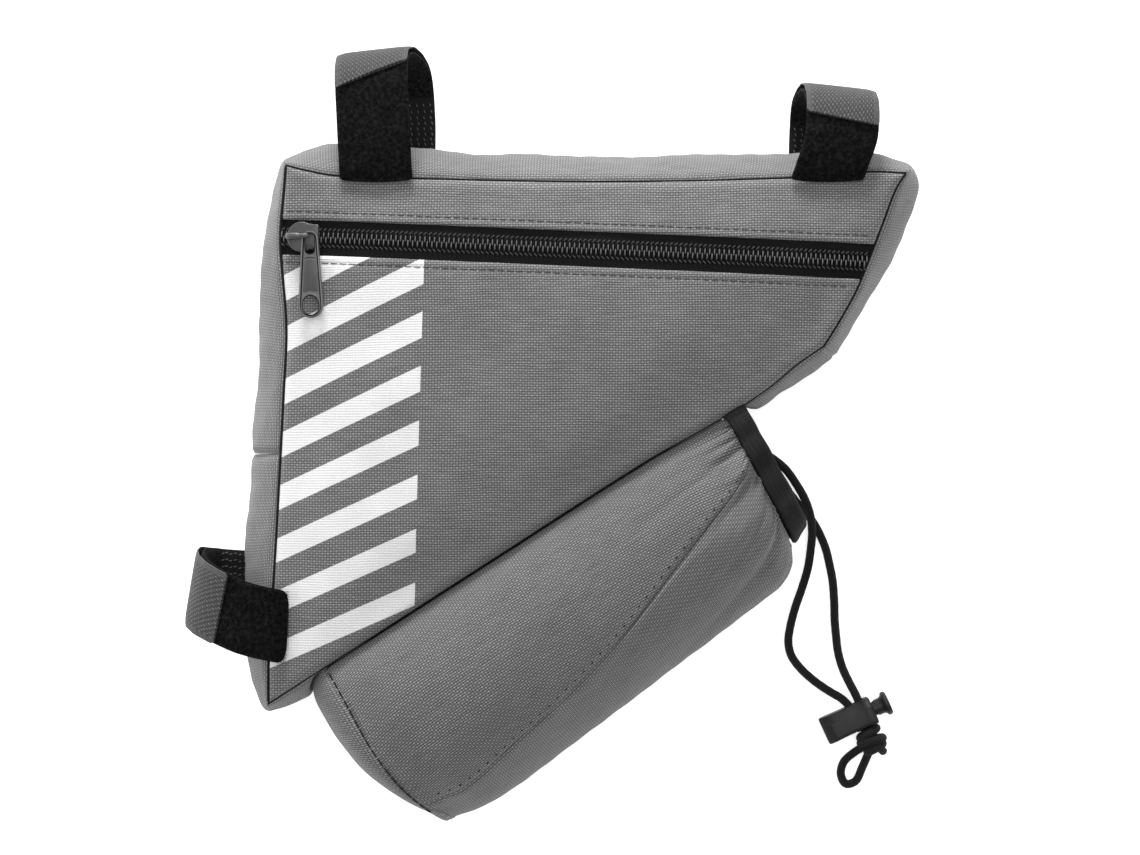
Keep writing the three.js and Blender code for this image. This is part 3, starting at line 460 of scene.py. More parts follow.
def turned(profile: Sequence[tuple[float, float]], sides: int = 32) -> Shape:
    """A shape turned about X from a profile, pairs of a radius and a place along X from axis to axis."""
    angles = np.linspace(0, 2 * math.pi, sides, endpoint=False)
    return lofted(np.array([[(x, r * math.cos(a), r * math.sin(a)) for a in angles] for r, x in profile]))


# Finishes


class Weave(Enum):
    """How a cloth's or a cord's threads lie."""

    PLAIN = "plain"
    DIAGONAL = "diagonal"
    TWILL = "twill"
    RIB = "rib"
    BRAID = "braid"


class Board:
    """The nodes of one material, wired up step by step."""

    def __init__(self, name: str) -> None:
        """Starts an empty material of this name."""
        self.material = bpy.data.materials.new(name)
        self.material.use_nodes = True
        self.tree = self.material.node_tree
        self.tree.nodes.clear()

    def node(self, kind: str, values: dict | None = None, **settings: object) -> bpy.types.Node:
        """Adds a node.

        Args:
            kind: Blender's name for it.
            values: What its inputs hold or are linked to.
            **settings: Its own properties.

        Returns:
            The node.
        """
        made = self.tree.nodes.new(kind)
        for key, value in settings.items():
            setattr(made, key, value)
        for key, value in (values or {}).items():
            if isinstance(value, Socket):
                self.tree.links.new(value, made.inputs[key])
            else:
                made.inputs[key].default_value = value
        return made

    def math(self, operation: str, *values: Value, clamp: bool = False) -> Socket:
        """Works out one step of arithmetic."""
        made = self.node("ShaderNodeMath", dict(enumerate(values)), operation=operation, use_clamp=clamp)
        return made.outputs[0]

    def times(self, a: Value, b: Value) -> Socket:
        """The product of two values."""
        return self.math("MULTIPLY", a, b)

    def add(self, a: Value, b: Value) -> Socket:
        """The sum of two values."""
        return self.math("ADD", a, b)

    def less(self, a: Value, b: Value) -> Socket:
        """The first value less the second."""
        return self.math("SUBTRACT", a, b)

    def size(self, value: Socket) -> Socket:
        """The value without its sign."""
        return self.math("ABSOLUTE", value)

    def sine(self, value: Socket, rate: float) -> Socket:
        """The sine of a value times a rate."""
        return self.math("SINE", self.times(value, rate))

    def scaled(self, value: Socket, factor: float, offset: float) -> Socket:
        """A value times a factor plus an offset."""
        return self.math("MULTIPLY_ADD", value, factor, offset)

    def mix(self, share: Value, a: Value, b: Value) -> Socket:
        """The value a share of the way from a to b."""
        return self.node("ShaderNodeMix", {0: share, 2: a, 3: b}, data_type="FLOAT").outputs[0]

    def rise(self, value: Socket, low: Value, high: Value) -> Socket:
        """A smooth rise from 0 at low to 1 at high."""
        made = self.node("ShaderNodeMapRange", {0: value, 1: low, 2: high}, interpolation_type="SMOOTHSTEP")
        return made.outputs[0]

    def cloth_place(self) -> tuple[Socket, Socket, Socket]:
        """The cloth coordinates in metres, and how near the cloth's edge it is."""
        found = self.node("ShaderNodeAttribute", attribute_name="weave")
        parts = self.node("ShaderNodeSeparateXYZ", {0: found.outputs["Vector"]})
        return parts.outputs[0], parts.outputs[1], parts.outputs[2]

    def place(self) -> Socket:
        """The place on the piece, in metres."""
        return self.node("ShaderNodeTexCoord").outputs["Object"]

    def noise(self, where: Socket, size: float, detail: float = 3.0, roughness: float = 0.55) -> Socket:
        """Soft noise about 0.5 whose patches are about size metres wide."""
        values = {"Vector": where, "Scale": 1 / size, "Detail": detail, "Roughness": roughness}
        return self.node("ShaderNodeTexNoise", values).outputs[0]

    def streaks(self, u: Value, v: Value) -> Socket:
        """Noise about 0.5 that changes from thread to thread and slowly along each."""
        where = self.node("ShaderNodeCombineXYZ", {0: self.times(u, 0.16), 1: v, 2: 0.0}).outputs[0]
        return self.noise(where, 1.3, 1.0)

    def interlaced(self, u: Value, v: Value) -> tuple[Socket, Socket]:
        """Threads that pass over and under each other, with a deeper gap between the rows.

        Args:
            u: The place along the weft, in threads.
            v: The place along the warp, in threads.

        Returns:
            The height from 0 to 1, and a value that is positive where the weft is on top.
        """
        a, b = self.sine(u, math.pi), self.sine(v, math.pi)
        on_top = self.times(a, b)
        weft = self.times(self.size(b), self.scaled(on_top, 0.5, 0.5))
        warp = self.times(self.size(a), self.scaled(on_top, -0.5, 0.5))
        row = self.scaled(self.math("POWER", self.size(b), 0.6), 0.65, 0.35)
        return self.times(self.math("MAXIMUM", weft, warp), row), on_top

    def finish(self, tone: Value, roughness: Value, height: Socket, depth: float, **gloss: float) -> None:
        """Wires the surface up.

        Args:
            tone: The grey of its colour, from 0 to 1.
            roughness: How matt it is.
            height: The relief for the bump, from 0 to 1.
            depth: How deep the relief is, in metres.
            **gloss: The shader's other inputs, by name with _ for a space.
        """
        bump = self.node("ShaderNodeBump", {"Height": height, "Distance": depth, "Strength": 1.0})
        values: dict = {"Roughness": roughness, "Normal": bump.outputs[0]}
        values["Base Color"] = tone if isinstance(tone, Socket) else (tone, tone, tone, 1)
        for key, value in gloss.items():
            values[key.replace("_", " ")] = value
        shader = self.node("ShaderNodeBsdfPrincipled", values)
        self.node("ShaderNodeOutputMaterial", {0: shader.outputs[0]})


@dataclass(frozen=True)
class Patches:
    """The widths in metres of the noise patches that vary a cloth."""

    drift: float = 0.05
    broad: float = 0.03
    fine: float = 0.0009
    speck: float = 0.0007


PATCHES = Patches()
THREAD_WANDER = 0.0012
BRAID_TURN = 0.7
SELVEDGE_RIB = 0.7
SELVEDGE_FROM = 10.5
SELVEDGE_TO = 10.8


@dataclass(frozen=True)
class ClothFinish:
    """A woven, ribbed or braided finish, drawn by its cloth coordinates."""

    name: str
    slot: str
    tone: float
    thread: float
    row: float
    weave: Weave = Weave.PLAIN
    contrast: float = 1.0
    uneven: float = 0.12
    slub: float = 0.3
    specks: float = 0.0
    depth: float = 0.16
    roughness: float = 0.8
    sheen: float = 0.2
    gloss: float = 0.3
    printed: bool = False

    def build(self) -> bpy.types.Material:
        """Makes the material."""
        board = Board(self.name)
        u, v, rim = board.cloth_place()
        where = board.place()
        drift = board.noise(where, PATCHES.drift, 2.0)
        wander = board.scaled(drift, 2 * THREAD_WANDER, -THREAD_WANDER)
        across, along = self.threads(board, board.add(u, wander), board.add(v, wander))
        height, on_top = self.relief(board, across, along)
        if self.weave is Weave.DIAGONAL:
            height = self.selvedged(board, v, height)
        # Painted shade and sheen: lit darkens the gaps between threads by the weave's height, and side paints
        # one set of threads paler than the other where it lies on top.
        lit = board.scaled(height, self.contrast * 1.5, 1 - self.contrast * 0.72)
        side = board.scaled(on_top, 0.2 * self.contrast, 1.0)
        fine = board.noise(where, PATCHES.fine, 2.0)
        patches = board.noise(where, PATCHES.broad, 3.0)
        speckle = board.scaled(fine, self.uneven * 1.6, 1 - self.uneven * 0.8)
        patchy = board.scaled(patches, self.uneven, 1 - self.uneven * 0.5)
        threads = board.scaled(board.streaks(across, along), self.slub * 2, 1 - self.slub)
        # Lighter in patches near the piece's edges.
        paler_near_edge = board.scaled(board.times(rim, patches), 0.16, 1.0)
        tone = board.times(board.times(lit, side), board.times(board.times(speckle, patchy), paler_near_edge))
        tone = board.times(board.times(tone, threads), self.tone)
        if self.specks:
            bright = board.rise(board.noise(where, PATCHES.speck, 1.0), 0.58, 0.72)
            tone = board.times(tone, board.scaled(bright, self.specks, 1.0))
        if self.printed:
            tone = WarningBars().over(board, tone, height, fine)
        fuzz = board.add(height, board.scaled(fine, 0.35, 0.0))
        matt = board.scaled(fine, 0.2, self.roughness - 0.1)
        board.finish(
            tone,
            matt,
            fuzz,
            self.depth * MM,
            Sheen_Weight=self.sheen,
            Sheen_Roughness=0.5,
            Specular_IOR_Level=self.gloss,
        )
        return board.material

    @staticmethod
    def selvedged(board: Board, v: Socket, height: Socket) -> Socket:
        """The relief of a tape with fine ribs along both its edges."""
        off = board.size(v)
        ribs = board.size(board.sine(off, math.pi / (SELVEDGE_RIB * MM)))
        share = board.rise(off, SELVEDGE_FROM * MM, SELVEDGE_TO * MM)
        return board.mix(share, height, board.scaled(ribs, 0.45, 0.1))

    def threads(self, board: Board, u: Socket, v: Socket) -> tuple[Socket, Socket]:
        """The cloth coordinates counted in threads, turned as this weave turns them.

        Args:
            board: The material's nodes.
            u: The place along the cloth, in metres.
            v: The place across it.

        Returns:
            The two places in threads.
        """
        a, b = 1 / (self.thread * MM), 1 / (self.row * MM)
        if self.weave is Weave.BRAID:
            return board.times(board.add(u, v), a * BRAID_TURN), board.times(board.less(u, v), b * BRAID_TURN)
        if self.weave is Weave.DIAGONAL:
            return (
                board.times(board.add(board.times(u, 0.6), board.times(v, 0.8)), a),
                board.times(board.add(board.times(v, 0.86), board.times(u, -0.51)), b),
            )
        return board.times(u, a), board.times(v, b)

    def relief(self, board: Board, u: Socket, v: Socket) -> tuple[Socket, Socket]:
        """The threads' relief.

        Args:
            board: The material's nodes.
            u: The place along, in threads.
            v: The place across, in threads.

        Returns:
            The height from 0 to 1, and which threads are on top.
        """
        if self.weave is Weave.TWILL:
            ridge = board.sine(board.add(u, v), math.pi)
            return board.scaled(ridge, 0.35, 0.5), board.sine(u, 2 * math.pi)
        if self.weave is Weave.RIB:
            ridge = board.size(board.sine(u, math.pi))
            return board.scaled(ridge, 0.9, 0.05), board.sine(v, math.pi)
        if self.weave is Weave.DIAGONAL:
            a, b = board.sine(u, math.pi), board.sine(v, math.pi)
            return board.times(board.times(a, a), board.times(b, b)), board.times(a, b)
        return board.interlaced(u, v)


@dataclass(frozen=True)
class WarningBars:
    """The slanted white bars that are printed on the left of the lower front panel."""

    tone: float = 0.78
    left: float = -100.0
    right: float = -50.0
    first_left: float = 51.9
    step_left: float = 17.93
    first_right: float = 76.9
    step_right: float = 18.38
    share_top: float = 0.515
    share_lean: float = -0.011
    edge_at: float = 57.8
    edge_lean: float = -0.0302
    count: int = 8

    def over(self, board: Board, tone: Socket, height: Socket, fine: Socket) -> Socket:
        """Prints the bars over a cloth.

        Args:
            board: The material's nodes.
            tone: The bare cloth's grey.
            height: The weave's relief.
            fine: Fine noise, which frays the print's edge.

        Returns:
            The printed cloth's grey.
        """
        x, y, _ = board.cloth_place()
        x = board.times(x, 1 / MM)
        y = board.times(y, 1 / MM)
        ragged = board.add(board.scaled(height, 0.12, -0.05), board.scaled(fine, 0.12, -0.06))
        share = board.times(board.add(x, -self.left), 1 / (self.right - self.left))
        top = board.scaled(share, self.first_right - self.first_left, self.first_left)
        step = board.scaled(share, self.step_right - self.step_left, self.step_left)
        order = board.math("DIVIDE", board.less(board.add(top, ragged), y), step)
        within = board.math("FRACT", board.add(order, 1.0))
        width = board.scaled(order, self.share_lean, self.share_top)
        bar = board.times(board.rise(within, 0.0, 0.012), self.before(board, within, width, 0.012))
        edge = board.scaled(y, -self.edge_lean, self.right + self.edge_lean * self.edge_at)
        inside = self.before(board, board.add(x, ragged), edge, 0.12)
        listed = self.before(board, order, float(self.count), 0.01)
        printed = board.times(board.times(bar, inside), listed)
        # The weave's gaps darken the white print a little: painted shade.
        thin = board.scaled(height, 0.1, 0.92)
        white = board.times(board.scaled(fine, 0.08, self.tone - 0.02), board.math("POWER", thin, 0.8))
        return board.mix(printed, tone, white)

    @staticmethod
    def before(board: Board, value: Socket, limit: Value, soft: float) -> Socket:
        """1 where a value is under its limit, falling to 0 just past it."""
        return board.less(1.0, board.rise(board.less(value, limit), 0.0, soft))


@dataclass(frozen=True)
class PileFinish:
    """The dense black fuzz of loop tape."""

    name: str = "loop_fuzz"
    slot: str = "loop_pile"
    tone: float = 0.007

    def build(self) -> bpy.types.Material:
        """Makes the material."""
        board = Board(self.name)
        where = board.place()
        tufts = board.noise(where, 0.0013, 4.0, 0.7)
        patches = board.noise(where, 0.006, 3.0)
        mottled = board.times(board.rise(tufts, 0.35, 0.75), board.scaled(patches, 1.6, 0.2))
        tone = board.scaled(mottled, self.tone * 2.6, self.tone * 0.3)
        board.finish(
            tone,
            0.95,
            tufts,
            0.6 * MM,
            Sheen_Weight=0.02,
            Sheen_Roughness=0.6,
            Specular_IOR_Level=0.05,
        )
        return board.material


@dataclass(frozen=True)
class HardFinish:
    """Moulded plastic, nylon or painted metal, with fine grain, handling marks and paler edges."""

    name: str
    slot: str
    tone: float
    roughness: float = 0.42
    metallic: float = 0.0
    grain: float = 0.0006
    depth: float = 0.03
    rubbed: float = 0.5
    coat: float = 0.0
    gloss: float = 0.4

    def build(self) -> bpy.types.Material:
        """Makes the material."""
        board = Board(self.name)
        where = board.place()
        fine = board.noise(where, self.grain, 3.0)
        marks = board.noise(where, 0.003, 4.0, 0.7)
        edges = board.node("ShaderNodeNewGeometry").outputs["Pointiness"]
        rubbed = board.times(board.rise(edges, 0.505, 0.58), board.scaled(marks, 1.2, 0.1))
        shade = board.scaled(marks, 0.3, 0.85)
        tone = board.times(board.times(shade, board.scaled(rubbed, self.rubbed, 1.0)), self.tone)
        matt = board.add(board.scaled(marks, 0.16, self.roughness - 0.08), board.scaled(fine, 0.08, -0.04))
        board.finish(
            tone,
            matt,
            fine,
            self.depth * MM,
            Metallic=self.metallic,
            Coat_Weight=self.coat,
            Coat_Roughness=0.3,
            Specular_IOR_Level=self.gloss,
        )
        return board.material


@dataclass(frozen=True)
class ThreadFinish:
    """Sewing thread of several twisted plies."""

    name: str
    slot: str
    tone: float
    ply: float = 0.35

    def build(self) -> bpy.types.Material:
        """Makes the material."""
        board = Board(self.name)
        u, v, _ = board.cloth_place()
        twist = board.sine(board.add(u, board.times(v, 0.8)), 2 * math.pi / (self.ply * MM))
        plies = board.scaled(twist, 0.5, 0.5)
        # The grooves between the plies are darker: painted shade.
        tone = board.times(board.scaled(plies, 0.7, 0.6), self.tone)
        board.finish(tone, 0.7, plies, 0.06 * MM, Sheen_Weight=0.03, Specular_IOR_Level=0.15)
        return board.material


Finish = ClothFinish | PileFinish | HardFinish | ThreadFinish


class Finishes:
    """The bag's materials, each made once."""

    def __init__(self) -> None:
        """Starts with none made."""
        self.made: dict[str, bpy.types.Material] = {}

    polyester = ClothFinish("grey_polyester", "polyester", 0.165, 0.97, 0.873)
    printed = ClothFinish("grey_polyester_printed", "printed_polyester", 0.165, 0.97, 0.873, printed=True)
    # The pouch's own cloth, with its grey set a little darker than the front's as painted shade.
    pouch = ClothFinish("grey_polyester_pouch_shaded", "pouch_polyester", 0.148, 0.97, 0.83, contrast=1.2)
    tape = ClothFinish(
        "zip_tape_black", "zip_tape", 0.009, 0.5, 0.5, Weave.TWILL, contrast=0.5, sheen=0.02, gloss=0.1
    )
    binding = ClothFinish(
        "binding_black", "binding_tape", 0.014, 0.5, 0.9, Weave.RIB, contrast=0.5, sheen=0.03, gloss=0.1
    )
    hook = ClothFinish(
        "hook_tape_back", "hook_tape", 0.072, 1.3, 1.0, Weave.DIAGONAL, 0.75, slub=0.1, specks=0.6, sheen=0.05
    )
    cord = ClothFinish(
        "braided_cord", "elastic_cord", 0.012, 0.75, 0.75, Weave.BRAID, contrast=0.5, sheen=0.03, gloss=0.2
    )
    pile = PileFinish()
    nylon = HardFinish("zip_nylon", "zip_coil", 0.008, roughness=0.4, grain=0.0004, rubbed=0.2, gloss=0.15)
    tooth_highlight = HardFinish("zip_nylon_painted_highlight", "zip_coil", 0.1, roughness=0.3, grain=0.0004, rubbed=0.2)
    # A pale copy of the coil's nylon: painted highlight on the tooth heads.
    metal = HardFinish("painted_zip_metal", "zip_metal", 0.07, 0.36, metallic=0.25, rubbed=1.2, coat=0.1)
    # Near-black: painted shade laid in the pull's grooves.
    groove_shade = HardFinish("zip_metal_groove_shade", "zip_metal", 0.006, roughness=0.6, rubbed=0.1, gloss=0.1)
    lock = HardFinish("moulded_lock", "lock_plastic", 0.012, roughness=0.45, rubbed=1.0, gloss=0.3)
    hooks = HardFinish("hook_nylon", "hook_tape", 0.11, roughness=0.4, rubbed=0.2, gloss=0.2)
    hook_face = HardFinish("hook_tape_face", "hook_tape", 0.016, roughness=0.9, rubbed=0.1, gloss=0.05)
    thread = ThreadFinish("grey_thread", "polyester", 0.085)
    dark_thread = ThreadFinish("black_thread", "pouch_polyester", 0.008)
    # Near-black thread: the binding's stitches, and the front seam's thread widened into painted shade of its
    # groove.
    seam = ThreadFinish("seam_thread_and_shade", "polyester", 0.006)
    zip_thread = ThreadFinish("zip_thread", "zip_coil", 0.09)

    def of(self, finish: Finish) -> bpy.types.Material:
        """The material of a finish, made when it is first asked for."""
        if finish.name not in self.made:
            self.made[finish.name] = finish.build()
        return self.made[finish.name]


FINISHES = Finishes()


def linked(name: str, data: bpy.types.ID) -> bpy.types.Object:
    """A new object in the scene that holds this data."""
    made = bpy.data.objects.new(name, data)
    bpy.context.scene.collection.objects.link(made)
    return made


def dress(
    shape: Shape,
    name: str,
    finish: Finish,
    replaces: Sequence[str] = (),
    body: str = "bag",
    crease: float = 55.0,
    lining: Finish | None = None,
) -> bpy.types.Object:
    """Turns a shape into a piece of the bag.

    Args:
        shape: The shape in millimetres.
        name: The piece's name.
        finish: What it is made of.
        replaces: The solids that it stands for.
        body: The body that it rides on.
        crease: The angle in degrees from which an edge is drawn sharp.
        lining: What the inner face of a wall is made of, where that differs.

    Returns:
        The piece.
    """
    mesh = bpy.data.meshes.new(name)
    mesh.from_pydata((shape.points * MM).tolist(), [], shape.faces)
    mesh.update()
    layer = mesh.attributes.new("weave", "FLOAT_VECTOR", "POINT")
    coordinates = shape.weave.copy()
    coordinates[:, :2] *= MM
    layer.data.foreach_set("vector", coordinates.astype(np.float32).ravel())
    mesh.shade_smooth()
    mesh.set_sharp_from_angle(angle=math.radians(crease))
    mesh.materials.append(FINISHES.of(finish))
    if lining:
        mesh.materials.append(FINISHES.of(lining))
        order = np.arange(len(mesh.polygons))
        lined = (order >= shape.behind_from) & (order < 2 * shape.behind_from)
        mesh.polygons.foreach_set("material_index", lined.astype(np.int32))
    piece = linked(name, mesh)
    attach(piece, body)
    if replaces:
        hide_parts(*replaces)
    LOG.info("%s: %d faces of %s on %s", name, len(shape.faces), finish.name, body)
    return piece


# Stitches


@dataclass(frozen=True)
class Stitching:
    """A row of sewing stitches that dip into the cloth at both ends."""

    length: float = 2.7
    gap: float = 0.5
    radius: float = 0.17
    rise: float = 0.16
    dip: float = 0.12

    def stitch(self) -> Shape:
        """One stitch, along X."""
        x = np.linspace(-0.5, 0.5, 7)
        from_middle = 2 * np.abs(x)
        height = self.rise * (1 - from_middle**4) - self.dip * from_middle**8
        line = np.stack([x * self.length, np.zeros_like(x), height], axis=1)
        return tube(line, self.radius * (1 - 0.35 * from_middle**6), sides=6)

    def along(self, line: Array, up: Array) -> Shape:
        """A row of stitches.

        Args:
            line: Points on the cloth that it follows.
            up: The cloth's outward direction at each point.

        Returns:
            The stitches, as one shape.
        """
        both = np.concatenate([line, up], axis=1)
        travelled = arc_lengths(line)
        pitch = self.length + self.gap
        reach = self.length * 0.4
        at = np.arange(pitch / 2, travelled[-1] - pitch / 2, pitch)
        here, ahead, behind = (
            np.stack([np.interp(at + shift, travelled, column) for column in both.T], axis=1)
            for shift in (0.0, reach, -reach)
        )
        return repeated(self.stitch(), here[:, :3], ahead[:, :3] - behind[:, :3], here[:, 3:])


# The main pouch


@dataclass(frozen=True)
class Corner:
    """A corner of the front seam, and how far the gusset bulges out there."""

    x: float
    y: float
    push_x: float
    push_y: float

    @property
    def at(self) -> Array:
        """The corner's place."""
        return np.array([self.x, self.y])

    @property
    def push(self) -> Array:
        """The gusset's bulge at the corner."""
        return np.array([self.push_x, self.push_y])


ELBOW_JOIN, SLOPE_START = 0.1455, 0.15
SLOPE_END, FOOT_JOIN = 0.915, 0.925

CORNERS = {
    "top_left": Corner(-98.0, 90.5, -2.4, 3.8),
    "top_right": Corner(116.0, 87.8, 4.4, 4.8),
    "elbow": Corner(87.6, 28.0, 5.2, -3.2),
    "foot": Corner(-104.0, -95.3, -2.4, -4.2),
}


@dataclass(frozen=True)
class Edge:
    """An edge of the front seam.

    A row gives a share of the way along it, the seam's bow there and the gusset's bulge.
    """

    start: str
    end: str
    rows: tuple[tuple[float, float, float], ...]

    @property
    def first(self) -> Corner:
        """The corner that it starts from."""
        return CORNERS[self.start]

    @property
    def last(self) -> Corner:
        """The corner that it ends at."""
        return CORNERS[self.end]

    @property
    def length(self) -> float:
        """Its length along the straight line."""
        return float(np.linalg.norm(self.last.at - self.first.at))

    @property
    def direction(self) -> Array:
        """The unit vector along it."""
        return (self.last.at - self.first.at) / self.length

    @property
    def normal(self) -> Array:
        """The unit vector out of the bag."""
        x, y = self.direction
        return np.array([-y, x])

    def column(self, index: int, at: Amount) -> Array:
        """One column of its rows at places between them."""
        return value_at([row[0] for row in self.rows], [row[index] for row in self.rows], at)


EDGES = {
    "top": Edge(
        "top_left",
        "top_right",
        (
            (0, 0, 3.8), (0.03, -1.6, 8.6), (0.08, -3.4, 13.0), (0.25, -4.1, 11.3),
            (0.5, -4.3, 10.3), (0.8, -2.3, 10.3), (0.94, 0.3, 8.4), (1, 0, 4.8),
        ),
    ),
    "right": Edge(
        "top_right",
        "elbow",
        (
            (0, 0, 3.2), (0.1, -0.8, 8.2), (0.28, 0.1, 9.1), (0.46, 1.1, 8.5),
            (0.65, 1.9, 6.9), (0.86, 1.1, 5.8), (1, 0, 5.4),
        ),
    ),
    "slope": Edge(
        "elbow",
        "foot",
        (
            (0, 0, 5.4), (0.05, 0.3, 5.5), (0.1, 1.8, 4.4), (ELBOW_JOIN, 2.2, 4.0),
            (SLOPE_START, 2.2, -0.6), (0.22, 1.6, -1.6), (0.32, 0.2, -2.4), (0.6, 0, -3),
            (0.82, 0, -2.4), (SLOPE_END, 0, -0.8), (FOOT_JOIN, 0, 5.0), (0.94, 0, 6.0),
            (0.98, 0, 4.4), (1, 0, 3.4),
        ),
    ),
    "left": Edge(
        "foot",
        "top_left",
        (
            (0, 0, 3.4), (0.06, 0.4, 7.4), (0.12, 0.2, 10.0), (0.3, -0.8, 12.2), (0.57, -1.8, 11.4),
            (0.7, -2, 11), (0.86, 1, 7.8), (0.96, 0.3, 4.2), (1, 0, 2.6),
        ),
    ),
}


@dataclass(frozen=True)
class Outline:
    """The front's seam and the stuffed front's height."""

    gusset_top: float = 46.5
    rim: float = 48.1
    crown: float = 9.0
    crown_reach: float = 24.0

    def miter(self, name: str) -> Array:
        """The vector that moves a corner out by one millimetre from both its edges."""
        a, b = (edge.normal for edge in EDGES.values() if name in (edge.start, edge.end))
        return (a + b) / (1 + a @ b)

    def point(self, name: str, t: Amount, out: Amount = 0.0, bulged: Amount = 0.0) -> Array:
        """Points of an edge.

        Args:
            name: The edge.
            t: The shares of the way along it.
            out: How far they are moved out from the seam.
            bulged: The share of the gusset's bulge that they are moved out by.

        Returns:
            The points in the plane.
        """
        edge = EDGES[name]
        t, out, bulged = np.broadcast_arrays(t, out, bulged)
        ends = lerp(edge.first.push @ edge.normal, edge.last.push @ edge.normal, t)
        off_corners = 1 - np.abs(2 * t - 1) ** 40
        bow = edge.column(1, t) + bulged * (edge.column(2, t) - ends) * off_corners
        first, last = (
            CORNERS[end].at + out[..., None] * self.miter(end) + bulged[..., None] * CORNERS[end].push
            for end in (edge.start, edge.end)
        )
        return lerp(first, last, t[..., None]) + edge.normal * bow[..., None]

    def inside(self, xy: Array) -> Array:
        """How far places are in from each edge of the seam, the edges first."""
        rows = []
        for edge in EDGES.values():
            away = xy - edge.first.at
            t = np.clip((away @ edge.direction) / edge.length, 0, 1)
            rows.append(edge.column(1, t) - away @ edge.normal)
        return np.stack(rows)

    def height(self, xy: Array) -> Array:
        """The front's height at places: it rises from the seams to the crown."""
        rise = np.tanh(np.maximum(0, self.inside(xy)) / self.crown_reach).prod(axis=0)
        return self.rim + self.crown * rise


OUTLINE = Outline()


@dataclass(frozen=True)
class ZipLine:
    """The zip's middle line and widths."""

    left_y: float = 65.8
    right_y: float = 57.2
    exposed: float = 12.2
    tape: float = 10.6

    def share(self, side: str, above: float) -> float:
        """The share of a side seam where the line that runs this far above the zip's middle meets it."""
        y, rising = (self.right_y, -1) if side == "right" else (self.left_y, 1)
        shares = np.linspace(0, 1, 4001)
        heights = OUTLINE.point(side, shares)[:, 1]
        return float(np.interp(rising * (y + above), rising * heights, shares))

    def ends(self, above: float) -> Iterable[Array]:
        """Where the line that runs this far above the zip's middle meets the left and the right seam."""
        return (OUTLINE.point(side, self.share(side, above)) for side in ("left", "right"))

    def line(self, above: float, u: Array, inset: float = 0.0) -> Array:
        """Points of a line that runs this far above the zip's middle."""
        left, right = self.ends(above)
        x = lerp(left[0] + inset, right[0] - inset, u)
        return np.stack([x, lerp(left[1], right[1], u)], axis=-1)

    def off(self, xy: Array) -> Array:
        """How far places are from the nearer fabric edge beside the zip."""
        left, right = self.ends(0.0)
        middle = lerp(left[1], right[1], (xy[..., 0] - left[0]) / (right[0] - left[0]))
        return np.abs(xy[..., 1] - middle) - self.exposed / 2


ZIP_LINE = ZipLine()


